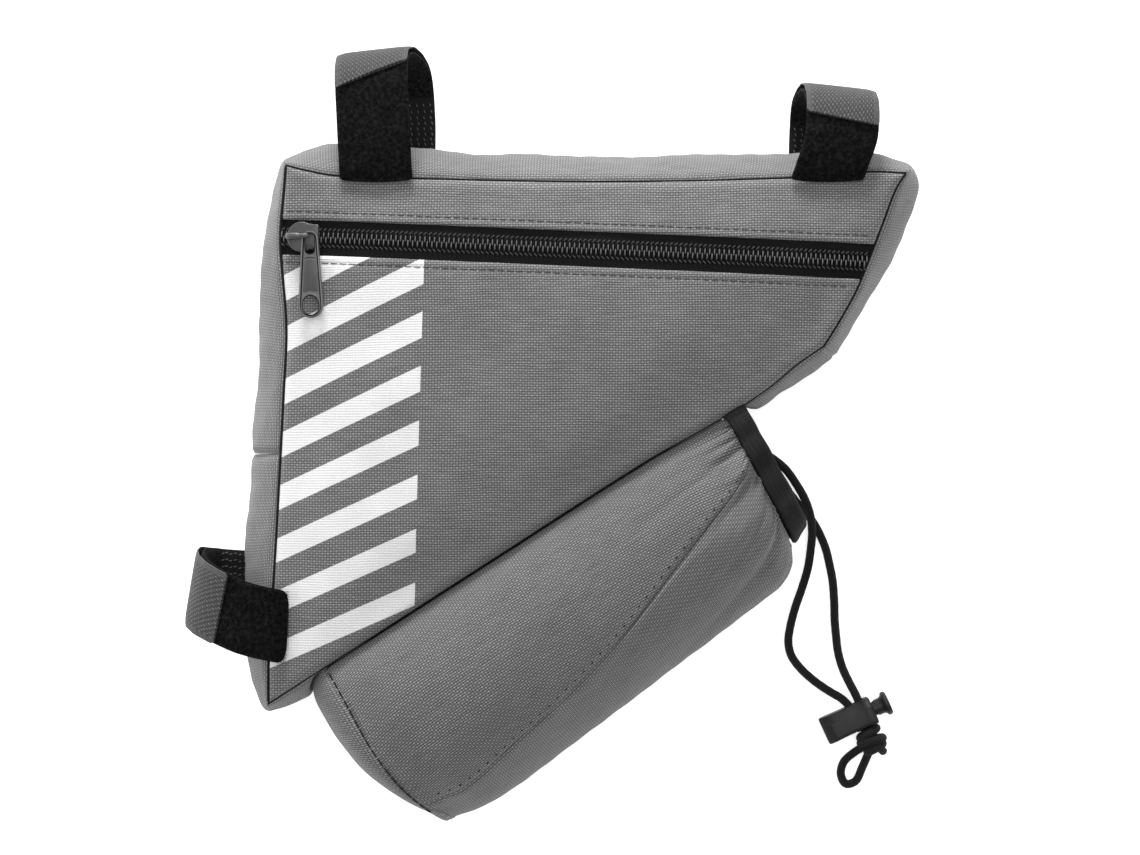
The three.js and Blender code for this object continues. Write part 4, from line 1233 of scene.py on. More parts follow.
@dataclass
class MainPouch:
    """The stuffed triangular body: two front panels, the gusset's two strips and the back panel."""

    wall: float = 1.8
    back_rim: float = 2.1
    seam_shift: float = 0.12
    seam_height: float = 46.75
    # The seam tube's radius on each edge, wide enough to paint the groove's shade.
    seam_thread_and_shade: tuple[float, ...] = (0.36, 0.36, 0.22, 0.6)
    strap_dents: tuple = ((-66.6, 82.0), (90.0, 82.0), (-98.0, -68.0))
    strap_dent: float = 1.1
    strap_dent_reach: float = 10.0
    soft_from: float = 8.0
    groove: float = 1.9
    groove_width: float = 1.1
    ridge: float = 0.8
    ridge_at: float = 1.9
    zip_fold: float = 0.9
    zip_fold_width: float = 0.4
    stitch_in: float = 2.7
    stitch_dip: float = 0.28
    stitch_dip_width: float = 0.7
    gusset_ridge: float = 0.55
    gusset_end_dip: float = 1.1
    side_join: float = 0.465
    slit: float = 0.0008
    drape: Waves = (
        (0.32, 20.0, 58.0, 40.0), (0.26, 75.0, 46.0, 130.0), (0.2, -38.0, 31.0, 10.0),
        (0.12, 50.0, 19.0, 250.0), (0.07, -15.0, 11.0, 90.0),
    )
    gusset_drape: Waves = (
        (0.3, 12.0, 47.0, 30.0), (0.16, -25.0, 26.0, 100.0), (0.16, 60.0, 17.0, 200.0), (0.1, 8.0, 9.0, 0.0),
    )

    def front_z(self, xy: Array) -> Array:
        """The front's height with its seams, folds and soft dents."""
        x, y = xy[..., 0], xy[..., 1]
        seam = np.maximum(0, OUTLINE.inside(xy).min(axis=0))
        beside_zip = np.maximum(0, ZIP_LINE.off(xy))
        soft = 1 - np.exp(-seam / self.soft_from)
        dents = waves(x, y, self.drape) * soft
        piped = self.ridge * (seam / self.ridge_at) * np.exp(1 - seam / self.ridge_at)
        sunk = self.groove * np.exp(-seam / self.groove_width)
        folded = self.zip_fold * np.exp(-beside_zip / self.zip_fold_width)
        sewn = self.stitch_dip * bump_at(beside_zip - self.stitch_in, self.stitch_dip_width)
        pulled = sum(bump_at(np.hypot(x - a, y - b), self.strap_dent_reach) for a, b in self.strap_dents)
        return OUTLINE.height(xy) + dents + piped - sunk - folded - sewn - self.strap_dent * pulled * soft

    def front_wall(self, xy: Array) -> Shape:
        """A front panel over a grid of places."""
        outer = raised(xy, self.front_z(xy))
        return cloth(outer, self.wall, np.broadcast_to(-UP, outer.shape), xy)

    def lower_front(self) -> Shape:
        """The front panel below the zip."""
        half = ZIP_LINE.exposed / 2
        u, v = crowded(130), crowded(96)
        left, right = (ZIP_LINE.share(side, -half) for side in ("left", "right"))
        xy = coons(
            OUTLINE.point("slope", 1 - u, -self.seam_shift),
            ZIP_LINE.line(-half, u, self.seam_shift),
            OUTLINE.point("left", v * left, -self.seam_shift),
            OUTLINE.point("right", 1 - v * (1 - right), -self.seam_shift),
            u,
            v,
        )
        return self.front_wall(xy)

    def upper_front(self) -> Shape:
        """The front panel above the zip."""
        half = ZIP_LINE.exposed / 2
        u, v = crowded(130), crowded(26)
        left, right = (ZIP_LINE.share(side, half) for side in ("left", "right"))
        xy = coons(
            ZIP_LINE.line(half, u, self.seam_shift),
            OUTLINE.point("top", u, -self.seam_shift),
            OUTLINE.point("left", lerp(left, 1, v), -self.seam_shift),
            OUTLINE.point("right", lerp(right, 0, v), -self.seam_shift),
            u,
            v,
        )
        return self.front_wall(xy)

    def gusset(self, spans: Sequence[tuple[str, float, float, int]]) -> Shape:
        """A strip of the gusset.

        Args:
            spans: For each edge in turn its name, the shares where the strip starts and ends on it, and
                the steps between them.

        Returns:
            The strip as a wall.
        """
        down = crowded(34, 0.8)
        bulge = np.sin(math.pi * down) ** 0.72
        rows = []
        for name, start, end, steps in spans:
            t = np.linspace(start, end, steps + 1)[(1 if rows else 0) :, None]
            rows.append(OUTLINE.point(name, t, self.seam_shift, bulge[None]))
        plane = self.eased(np.concatenate(rows), bulge)
        outer = raised(plane, lerp(OUTLINE.gusset_top, self.back_rim, down))
        normals = grid_normals(outer)
        run = laid_out(outer)
        u, v = run[..., 0], run[..., 1]
        ends = np.exp(-u / 0.8) + np.exp(-(u[-1:] - u) / 0.8)
        top = v / self.ridge_at
        foot = (v[:, -1:] - v) / self.ridge_at
        lift = waves(u, v, self.gusset_drape) * np.sin(math.pi * down) ** 0.5 - self.gusset_end_dip * ends
        lift += self.gusset_ridge * (top * np.exp(1 - top) + foot * np.exp(1 - foot))
        outward = normals * out_sign(outer, normals)
        outer = outer + outward * lift[..., None]
        return cloth(outer, self.wall, -outward, run)

    @staticmethod
    def eased(plane: Array, bulge: Array) -> Array:
        """The strip's points with its corners rounded where the cloth bulges."""
        soft = plane.copy()
        for _ in range(4):
            soft[1:-1] = (soft[:-2] + 2 * soft[1:-1] + soft[2:]) / 4
        share = smoothstep(bulge, 0.15, 0.8)[None, :, None]
        return lerp(plane, soft, share)

    def upper_gusset(self) -> Shape:
        """The strip over the top and down both sides."""
        return self.gusset(
            [("left", self.side_join + self.slit, 1, 66), ("top", 0, 1, 130), ("right", 0, 0.9975, 46)]
        )

    def lower_gusset(self) -> Shape:
        """The strip under the slope and up the left side."""
        return self.gusset(
            [
                ("slope", self.slit, ELBOW_JOIN, 40),
                ("slope", ELBOW_JOIN, SLOPE_START, 3),
                ("slope", SLOPE_START, SLOPE_END, 74),
                ("slope", SLOPE_END, FOOT_JOIN, 5),
                ("slope", FOOT_JOIN, 1, 22),
                ("left", 0, self.side_join - self.slit, 60),
            ]
        )

    def back(self) -> Shape:
        """The flat panel that it lies on."""
        u, v = np.linspace(0, 1, 50), np.linspace(0, 1, 40)
        xy = coons(
            OUTLINE.point("slope", 1 - u),
            OUTLINE.point("top", u),
            OUTLINE.point("left", v),
            OUTLINE.point("right", 1 - v),
            u,
            v,
        )
        outer = raised(xy, 0.0)
        return cloth(outer, self.wall, np.broadcast_to(UP, outer.shape), xy)

    def zip_stitches(self) -> Shape:
        """The two rows of topstitching beside the zip."""
        u = np.linspace(0, 1, 400)
        rows = []
        for side in (-1, 1):
            xy = ZIP_LINE.line(side * (ZIP_LINE.exposed / 2 + self.stitch_in), u, 1.5)
            line = raised(xy, self.front_z(xy))
            rows.append(Stitching().along(line, np.broadcast_to(UP, line.shape)))
        return joined(rows)

    def seam_shade_line(self) -> Shape:
        """A near-black tube in the groove between the front and the gusset: the seam's thread, widened by
        edge to paint the groove's shade.
        """
        shares = np.linspace(0, 1, 180, endpoint=False)
        loop = np.concatenate([OUTLINE.point(name, shares) for name in EDGES])
        return closed_tube(loop, self.seam_height, np.repeat(self.seam_thread_and_shade, len(shares)))

    def build(self) -> None:
        """Makes and dresses the pouch's pieces."""
        dress(self.seam_shade_line(), "front_seam_thread_and_shade", Finishes.seam)
        dress(self.lower_front(), "lower_front_cloth", Finishes.printed, ["front_lower_panel"])
        dress(self.upper_front(), "upper_front_cloth", Finishes.polyester, ["front_upper_panel"])
        dress(self.upper_gusset(), "upper_gusset_cloth", Finishes.polyester, ["gusset_upper"])
        dress(self.lower_gusset(), "lower_gusset_cloth", Finishes.polyester, ["gusset_lower"])
        dress(self.back(), "back_cloth", Finishes.polyester, ["back_panel"])
        dress(self.zip_stitches(), "zip_topstitching", Finishes.thread)


# The zip


@dataclass
class Zip:
    """The coil zip: its tapes, its interlocked coils, their sewing, the slider and the pull."""

    tape_drop: float = 2.1
    tape_thickness: float = 1.0
    tape_split: float = 0.15
    tape_inset: float = 0.3
    coil_drop: float = 1.8
    pitch: float = 1.66
    wire: float = 0.289
    coil_half: float = 3.05
    head_radius: float = 0.25
    slider_length: float = 11.4
    slider_half: float = 5.2
    slider_x: float = -91.7
    slider_rise: float = 2.6
    seam_ends: tuple[float, float] = (-98.4, 103.8)
    plate: float = 1.5
    bar_height: float = 3.3
    bar_radius: float = 0.8
    bridge_radius: float = 1.1
    pitch_angle: float = 12.0
    roll: float = -3.0
    hinge_at: float = 7.2
    tilt: float = 4.0
    pull_foot: float = -23.3
    pull_hole_radius: float = 3.1
    aside: Matrix = field(default_factory=lambda: Matrix.Translation(Vector((1.8, -0.6, 0))))

    def tape(self, side: int) -> Shape:
        """One side's tape."""
        u, v = np.linspace(0, 1, 130), np.linspace(0, 1, 9)
        inner, outer = (
            ZIP_LINE.line(side * away, u, self.tape_inset) for away in (self.tape_split, ZIP_LINE.tape)
        )
        xy = lerp(inner[:, None], outer[:, None], v[None, :, None])
        grid = raised(xy, OUTLINE.height(xy) - self.tape_drop)
        return cloth(grid, self.tape_thickness, np.broadcast_to(-UP, grid.shape))

    def middle(self) -> tuple[Array, Array]:
        """The coil's places, a pitch apart, and the direction along them."""
        xy = ZIP_LINE.line(0.0, np.linspace(0, 1, 600), 1.0)
        places = evenly(raised(xy, OUTLINE.height(xy) - self.coil_drop), self.pitch)
        return places, unit(np.gradient(places, axis=0))

    def tooth(self, side: int) -> Shape:
        """One turn of one side's coil, which hooks over the middle."""
        w = self.coil_half
        knots = [
            (0.5, -0.2, 0.4), (0.32, 1.2, 0.3), (0.1, w - 0.1, 0.5), (0.0, w, 1.0),
            (0.0, w - 0.7, 1.3), (0.0, 1.4, 1.5), (0.0, 0.2, 1.5), (0.0, -0.2, 0.9),
        ]
        return tube(route([(x, side * y, z) for x, y, z in knots], 0.55), self.wire, sides=6)

    def head(self, side: int) -> Shape:
        """The flattened head of one turn, dressed paler than the coil as a painted highlight in the middle of
        the zip.
        """
        share = np.linspace(-1, 1, 9)
        line = np.stack([np.zeros_like(share), side * 0.78 + share * 1.12, 1.95 - 0.25 * share**2], axis=1)
        return tube(line, self.head_radius * np.sqrt(1.02 - share**4), sides=8)

    def both(self, small: Callable) -> Shape:
        """A small shape of each side, a pitch apart, the lower side's half a pitch on."""
        places, along = self.middle()
        up = np.broadcast_to(UP, places.shape)
        shifted = places + along * self.pitch / 2
        upper = repeated(small(1), places, along, up)
        return upper.plus(repeated(small(-1), shifted[:-1], along[:-1], up[:-1]))

    def sewing(self) -> Shape:
        """The slanted stitches that hold the coils on their tapes."""
        places, along = self.middle()
        up = np.broadcast_to(UP, places.shape)
        sideways = np.cross(up, along)
        thread = Stitching(length=1.35, radius=0.21, rise=0.12).stitch()
        rows = []
        for side in (-1, 1):
            at = places + sideways * side * 2.85 + UP * 1.45
            rows.append(repeated(thread, at, along * 0.9 + sideways * side * 0.75, up))
        return joined(rows)

    def seat(self) -> Matrix:
        """The slider's own frame: under the middle of its plate, with its nose along -X."""
        first, last = self.seam_ends
        y = lerp(ZIP_LINE.left_y, ZIP_LINE.right_y, (self.slider_x - first) / (last - first))
        top = float(OUTLINE.height(np.array([self.slider_x, y]))) - self.coil_drop + self.slider_rise
        place = Matrix.Translation(Vector((self.slider_x, y, top)))
        turn = Matrix.Rotation(math.radians(self.roll), 4, "X")
        return place @ turn @ Matrix.Rotation(-math.radians(self.pitch_angle), 4, "Y")

    def slider(self) -> Shape:
        """The slider's body, flanges, post and bar."""
        tail = self.slider_length / 2
        nose = -tail
        angles = np.linspace(math.radians(60), math.radians(300), 41)
        disc = np.stack([nose + 5.3 + 5.1 * np.cos(angles), self.slider_half * np.sin(angles)], axis=1)
        outline = evenly(np.concatenate([disc, [(tail, -3.9), (tail, 3.9)], disc[:1]]), 0.45)[:-1]
        flange = box_outline(3.4, 0.45, 0.2)
        beside = np.array([0.0, self.slider_half * 0.84 - 0.45])
        plates = [plate_of(flange + side * beside, -self.plate, 0.4, 0.15) for side in (-1, 1)]
        top = self.plate + self.bar_height
        rows = (
            (1.35, self.plate - 0.3), (1.3, self.plate + 1.6), (1.5, top - 0.45), (2.6, top + 0.02),
            (5.0, top), (7.6, top - 0.02), (8.25, top - 0.25), (8.3, top - 0.95),
        )
        bridge = route([(nose + x, 0, z) for x, z in rows], 0.3)
        along = arc_lengths(bridge)
        width = lerp(self.bridge_radius, self.bar_radius, smoothstep(along, 6.4, 7.8))
        width = width * lerp(1, 0.66, smoothstep(along, along[-1] - 1.1, along[-1] - 0.1))
        return joined([plate_of(outline, 0.0, self.plate, 0.4), *plates, tube(bridge, width, 16, 0.86)])

    @property
    def pull_low(self) -> float:
        """The height of the pull's underside below its bar."""
        return -self.bar_radius - 0.2 - 1.0

    def pull_outline(self, inset: float) -> Array:
        """The pull's outline, drawn in by an inset: a narrow round top and a round foot."""
        angles = np.linspace(0, math.pi, 21)
        neck, foot = 2.95 - inset, 4.4 - inset
        top = np.stack([neck * np.cos(angles), -0.5 + (2.7 - inset) * np.sin(angles)], axis=1)
        bottom = np.stack([-foot * np.cos(angles), self.pull_foot - foot * np.sin(angles)], axis=1)
        ring = evenly(np.concatenate([top, bottom, top[:1]]), 0.4)
        return ring[:-1]

    def pull_eye(self) -> Array:
        """The outline of the eye that hangs on the slider's bar."""
        high = 1.3
        return rounded_outline(
            [(-1.75, high, 1.2), (1.75, high, 1.2), (1.75, high - 7.0, 1.75), (-1.75, high - 7.0, 1.75)], 11
        )

    def pull_hole(self, radius: float) -> Array:
        """The outline of the hole in the pull's foot."""
        angles = np.linspace(0, 2 * math.pi, 40, endpoint=False)
        return np.stack([radius * np.cos(angles), self.pull_foot + radius * 1.12 * np.sin(angles)], axis=1)

    def pull(self) -> Shape:
        """The pull: a plate with an eye, a hole, a thin raised rim round both faces and a raised middle."""
        low = self.pull_low
        outlines = [self.pull_outline(0.0), self.pull_eye(), self.pull_hole(self.pull_hole_radius)]
        parts = [pierced_plate(outlines, low + 0.12, low + 0.88)]
        for ring in (self.pull_outline(0.32), self.pull_hole(self.pull_hole_radius + 0.25)):
            for z in (low + 0.24, low + 0.8):
                parts.append(closed_tube(ring, z, 0.3))
        shoulder = self.pull_foot + 4.6
        middle = rounded_outline(
            [
                (-1.85, -7.6, 0.8),
                (1.85, -7.6, 0.8),
                (2.75, shoulder, 0.5),
                (0.0, shoulder + 0.6, 2.5),
                (-2.75, shoulder, 0.5),
            ]
        )
        return joined([*parts, plate_of(middle, low + 0.5, low + 1.06, 0.15)]).placed(self.aside)

    def pull_groove_shade(self) -> Shape:
        """Near-black tubes of painted shade in the groove inside the pull's rim, round its hole and its eye,
        and at the step above its raised middle.
        """
        level = self.pull_low + 0.9
        across = np.linspace(-2.0, 2.0, 15)
        step = np.stack([across, -6.9 - 0.09 * across**2, np.full_like(across, level)], axis=1)
        parts = [
            closed_tube(self.pull_outline(0.78), level + 0.06, 0.19, 6),
            closed_tube(self.pull_hole(self.pull_hole_radius - 0.02), level + 0.06, 0.15, 6),
            closed_tube(self.pull_eye(), level, 0.12, 6),
            tube(step, 0.14, sides=6),
        ]
        return joined(parts).placed(self.aside)

    def build(self) -> None:
        """Makes and dresses the zip's pieces."""
        dress(self.tape(1), "upper_zip_tape", Finishes.tape, ["zip_tape_upper"])
        dress(self.tape(-1), "lower_zip_tape", Finishes.tape, ["zip_tape_lower"])
        dress(self.both(self.tooth), "zip_teeth", Finishes.nylon, ["zip_coil"])
        dress(self.both(self.head), "zip_tooth_highlights", Finishes.tooth_highlight)
        dress(self.sewing(), "zip_coil_sewing", Finishes.zip_thread)
        seat = self.seat()
        dress(self.slider().placed(seat), "slider_body", Finishes.metal, ["zip_slider"], crease=35)
        hinge = Vector((self.hinge_at - self.slider_length / 2, 0, self.plate + self.bar_height))
        hang = seat @ Matrix.Translation(hinge) @ Matrix.Rotation(math.radians(self.tilt), 4, "X")
        dress(self.pull().placed(hang), "pull_tab", Finishes.metal, ["zip_pull"], body="zip_pull", crease=35)
        dress(self.pull_groove_shade().placed(hang), "pull_tab_groove_shade", Finishes.groove_shade, body="zip_pull")


def rounded_outline(corners: Sequence[tuple[float, float, float]], steps: int = 7) -> Array:
    """A closed outline with round corners.

    Args:
        corners: Each corner's place and its radius.
        steps: How many points each round has.

    Returns:
        The outline's points in order.
    """
    points = []
    count = len(corners)
    for i, (x, y, radius) in enumerate(corners):
        here = np.array([x, y])
        before = np.array(corners[i - 1][:2]) - here
        after = np.array(corners[(i + 1) % count][:2]) - here
        a, b = unit(before), unit(after)
        angle = math.acos(float(np.clip(a @ b, -1, 1)))
        reach = radius / max(math.tan(angle / 2), 1e-6)
        reach = min(reach, 0.49 * np.linalg.norm(before), 0.49 * np.linalg.norm(after))
        start, end = here + a * reach, here + b * reach
        for t in np.linspace(0, 1, steps):
            points.append((1 - t) ** 2 * start + 2 * t * (1 - t) * here + t**2 * end)
    return np.array(points)


def box_outline(half: float, tall: float, radius: float) -> Array:
    """The outline of a rectangle about the middle, by its half sides, with round corners."""
    return rounded_outline([(x * half, y * tall, radius) for x, y in ((-1, -1), (1, -1), (1, 1), (-1, 1))])


def plate_of(outline: Array, low: float, high: float, bevel: float) -> Shape:
    """A plate with an outline and rounded edges.

    Args:
        outline: Its outline's points in order.
        low: Its underside's height.
        high: Its top's height.
        bevel: How far its edges are rounded.

    Returns:
        The plate.
    """
    centre = outline.mean(axis=0)
    reach = np.linalg.norm(outline - centre, axis=1, keepdims=True)
    rings = []
    for part in range(9):
        angle = math.pi * part / 8
        drawn = 1 - bevel * (1 - math.sin(angle)) / reach
        round_from = low + bevel if angle < math.pi / 2 else high - bevel
        rings.append(raised(centre + (outline - centre) * drawn, round_from - bevel * math.cos(angle)))
    return lofted(np.array(rings))


def pierced_plate(outlines: Sequence[Array], low: float, high: float) -> Shape:
    """A flat plate with holes.

    Args:
        outlines: Its outline, then its holes.
        low: Its underside's height.
        high: Its top's height.

    Returns:
        The plate.
    """
    data = bpy.data.curves.new("plate_outline", "CURVE")
    data.dimensions = "2D"
    data.fill_mode = "BOTH"
    data.extrude = (high - low) / 2
    for outline in outlines:
        path = data.splines.new("POLY")
        path.points.add(len(outline) - 1)
        for point, (x, y) in zip(path.points, outline):
            point.co = (x, y, 0, 1)
        path.use_cyclic_u = True
    holder = bpy.data.objects.new("plate_outline", data)
    made = shape_from(bpy.data.meshes.new_from_object(holder), (high + low) / 2)
    bpy.data.objects.remove(holder)
    bpy.data.curves.remove(data)
    return made


def shape_from(mesh: bpy.types.Mesh, lift: float = 0.0) -> Shape:
    """The shape of a mesh in millimetres, lifted and with the mesh removed."""
    points = np.array([v.co for v in mesh.vertices]) + UP * lift
    faces = [list(polygon.vertices) for polygon in mesh.polygons]
    bpy.data.meshes.remove(mesh)
    return Shape(points, faces, points.copy())


def closed_tube(ring: Array, height: float, radius: Amount, sides: int = 8) -> Shape:
    """A round tube along a closed flat ring.

    Args:
        ring: The ring's points in the plane.
        height: How high it lies.
        radius: The tube's radius, or one for each point.
        sides: How many sides the tube has.

    Returns:
        The tube.
    """
    loop = raised(ring, height)
    following = np.roll(loop, -1, axis=0) - np.roll(loop, 1, axis=0)
    outward = unit(np.cross(following, UP))
    angles = np.linspace(0, 2 * math.pi, sides, endpoint=False)
    radii = np.broadcast_to(radius, len(loop))[:, None, None]
    rings = (
        loop[:, None]
        + np.cos(angles)[None, :, None] * radii * outward[:, None]
        + np.sin(angles)[None, :, None] * radii * UP
    )
    closed = np.concatenate([rings, rings[:1]])
    points = rings.reshape(-1, 3)
    faces = [[i % len(points) for i in face] for face in grid_faces(len(closed), sides, closed=True)]
    return Shape(points, faces, points.copy()).facing_out()


# The straps


@dataclass
class Strap:
    """A loop of hook-and-loop webbing: a band of black pile with a band of grey-backed hook tape over it.

    Each row of the path gives how far out from the seam it is, how high, its shift along the strap's width
    and the lean of one side against the other.
    """

    name: str
    at: tuple[float, float]
    out: tuple[float, float]
    pile_end: float
    hook_start: float
    hook_cut: float
    path: tuple[tuple[float, float, float, float], ...]
    round_start: float = 12.5
    round_rise: float = 2.4
    width: float = 25.0
    pile_thickness: float = 1.8
    hook_thickness: float = 1.3
    gap: float = 0.5
    hook_pitch: float = 1.5
    fibres: int = 5200
    fibre_sizes: tuple[float, float] = (0.6, 1.35)
    seed: int = 5

    def middle(self, t: Array, across: Array) -> Array:
        """Points of the bare loop at shares of its path and of its width from -0.5 to 0.5."""
        t, across = np.broadcast_arrays(t, across)
        rows = spline(np.array(self.path)[None], t.reshape(1, -1), centripetal=False)[0]
        out, up, shift, lean = (rows[:, k].reshape(t.shape) for k in range(4))
        away = out + lean * across
        sideways = shift + self.width * across
        x = self.at[0] + self.out[0] * away + self.out[1] * sideways
        y = self.at[1] + self.out[1] * away - self.out[0] * sideways
        return np.stack([x, y, up], axis=-1)

    def normal(self, t: Array, across: Array) -> Array:
        """The loop's outward direction."""
        small = 1e-3
        t = np.clip(t, small, 1 - small)
        along = self.middle(t + small, across) - self.middle(t - small, across)
        sideways = self.middle(t, across + small) - self.middle(t, across - small)
        return unit(np.cross(sideways, along))

    def length(self, start: float, end: float, steps: int) -> float:
        """How long the loop is between two shares of its path, measured in steps."""
        return float(arc_lengths(self.middle(np.linspace(start, end, steps), np.zeros(steps))).max())

    def band(
        self, start: float, end: float, cut: float, lift: float, thickness: float, corner: tuple[float, float]
    ) -> Shape:
        """One band of the loop.

        Args:
            start: The share of the path where it starts.
            end: Where it ends.
            cut: How far its start is slanted.
            lift: How far its outer face stands over the path.
            thickness: How thick it is.
            corner: How wide and how long the rounds of its start's corners are.

        Returns:
            The band.
        """
        u, v = np.linspace(0, 1, 110)[:, None], crowded(15, 0.6)[None]
        across = v - 0.5
        length = self.length(0, 1, 80)
        wide, long = corner
        past = np.clip((np.abs(across) * self.width - self.width / 2 + wide) / wide, 0, 1)
        rounded = long / length * (1 - np.sqrt(np.maximum(0, 1 - past**2)))
        t = lerp(start + cut * across + rounded, end, u)
        t, across = np.broadcast_arrays(t, across)
        normal = self.normal(t, across)
        full = 1 - np.abs(2 * across) ** 10
        ruffle = 0.1 * np.sin(t * 90) * np.abs(2 * across) ** 3
        outer = self.middle(t, across) + normal * (lift + ruffle - 0.35 * thickness * (1 - full))[..., None]
        deep = thickness * lerp(0.3, 1.0, full)
        run = np.stack([t * length, across * self.width], axis=-1)
        rim = edge_closeness(outer, 1.6)
        back = outer - normal * deep[..., None]
        return wall(outer, back, np.concatenate([run, rim[..., None]], axis=-1))

    def fuzz(self) -> Shape:
        """The pile's loose fibres."""
        rng = np.random.default_rng(self.seed)
        count = self.fibres
        t = rng.uniform(0.01, self.hook_start + 0.03, count)
        across = rng.uniform(-0.495, 0.495, count)
        normal = self.normal(t, across)
        places = self.middle(t, across) - normal * 0.15
        lean = unit(rng.normal(size=(count, 3)))
        out = unit(normal + lean * 0.75)
        size = rng.uniform(*self.fibre_sizes, count)
        strand = Shape(
            np.array([(0, -0.07, 0), (0, 0.07, 0), (0.12, 0.055, 0.5), (0.12, -0.055, 0.5), (0.5, 0, 0.85)]),
            [[0, 1, 2, 3], [3, 2, 4]],
            np.zeros((5, 3)),
        )
        return repeated(strand, places, unit(np.cross(out, lean)), out, size)

    def hooks(self) -> Shape:
        """The rows of tiny hooks inside the open part of the loop."""
        start, end = self.pile_end + 0.02, 0.965
        rows = int(self.length(start, end, 60) / self.hook_pitch)
        t, across = np.meshgrid(np.linspace(start, end, rows), np.linspace(-0.43, 0.43, 10), indexing="ij")
        across = across + (np.arange(rows) % 2)[:, None] * 0.015
        t, across = t.ravel(), across.ravel()
        normal = self.normal(t, across)
        ahead = self.middle(np.clip(t + 1e-3, 0, 1), across) - self.middle(t - 1e-3, across)
        places = self.middle(t, across) + normal * (self.gap + 0.1)
        line = np.array([(0, 0, -0.2), (0.02, 0, 0.55), (0.3, 0.1, 0.85), (0.75, 0.25, 0.6)])
        return repeated(tube(line, 0.19, sides=5), places, unit(ahead), -normal)

    def build(self) -> None:
        """Makes and dresses the strap's pieces."""
        pile = self.band(0, self.pile_end, 0, 0, self.pile_thickness, (self.round_start, self.round_rise))
        tape = self.band(
            self.hook_start, 1, self.hook_cut, self.gap + self.hook_thickness, self.hook_thickness, (0.8, 0.8)
        )
        dress(pile, f"{self.name}_pile_band", Finishes.pile, [f"{self.name}_pile"])
        dress(self.fuzz(), f"{self.name}_pile_fuzz", Finishes.pile)
        dress(tape, f"{self.name}_hook_band", Finishes.hook, [f"{self.name}_hook"], lining=Finishes.hook_face)
        dress(self.hooks(), f"{self.name}_hook_rows", Finishes.hooks)


STRAPS = (
    Strap(
        name="top_left_strap",
        at=(-66.6, 86.0),
        out=(0.0, 1.0),
        pile_end=0.72,
        hook_start=0.34,
        hook_cut=0.07,
        path=(
            (-1.6, 51.2, 0, 0), (5, 52.2, -0.4, 0.6), (20, 51.4, -1.2, 1.6), (35, 47.4, -2, 2.6),
            (43.4, 36, -1.8, 2.8), (44.2, 21, 1.4, 2.4), (38.6, 9, 4.8, 1.4), (24, 5.2, 6, 0.8),
            (12, 4.4, 6, 0), (4.4, 4, 6, 0),
        ),
        seed=11,
    ),
    Strap(
        name="top_right_strap",
        at=(88.3, 86.0),
        out=(0.0, 1.0),
        pile_end=0.74,
        hook_start=0.28,
        hook_cut=-0.03,
        path=(
            (-1.6, 51.2, 0, 0), (4, 52.6, 1.8, -0.4), (14, 52.2, 5, -1.4), (25, 47.6, 5.8, -2.4),
            (30.8, 37, 5.4, -2.8), (31.4, 23, 4.4, -2.4), (27.6, 10, 3, -1.4), (19, 5.2, 2.6, -0.6),
            (10, 4.4, 2.4, 0), (3.7, 4, 2.4, 0),
        ),
        seed=12,
    ),
    Strap(
        name="lower_left_strap",
        at=(-102.6, -68.0),
        out=(-1.0, 0.0),
        pile_end=0.72,
        hook_start=0.28,
        hook_cut=-0.016,
        path=(
            (-5.6, 51.6, -0.6, -1.2), (0, 53.6, 0.2, -1.4), (11, 53.2, 3, -2.6), (22, 47.6, 7.8, -3.8),
            (27.6, 37, 11.2, -4.4), (28.2, 23, 13.2, -3.4), (25.4, 10.6, 12.8, -1.6), (19.6, 5.4, 12, -0.6),
            (11, 4.4, 11.4, 0), (2.6, 4, 11, 0),
        ),
        round_start=6.0,
        round_rise=5.0,
        seed=13,
    ),
)


# The bottle pouch


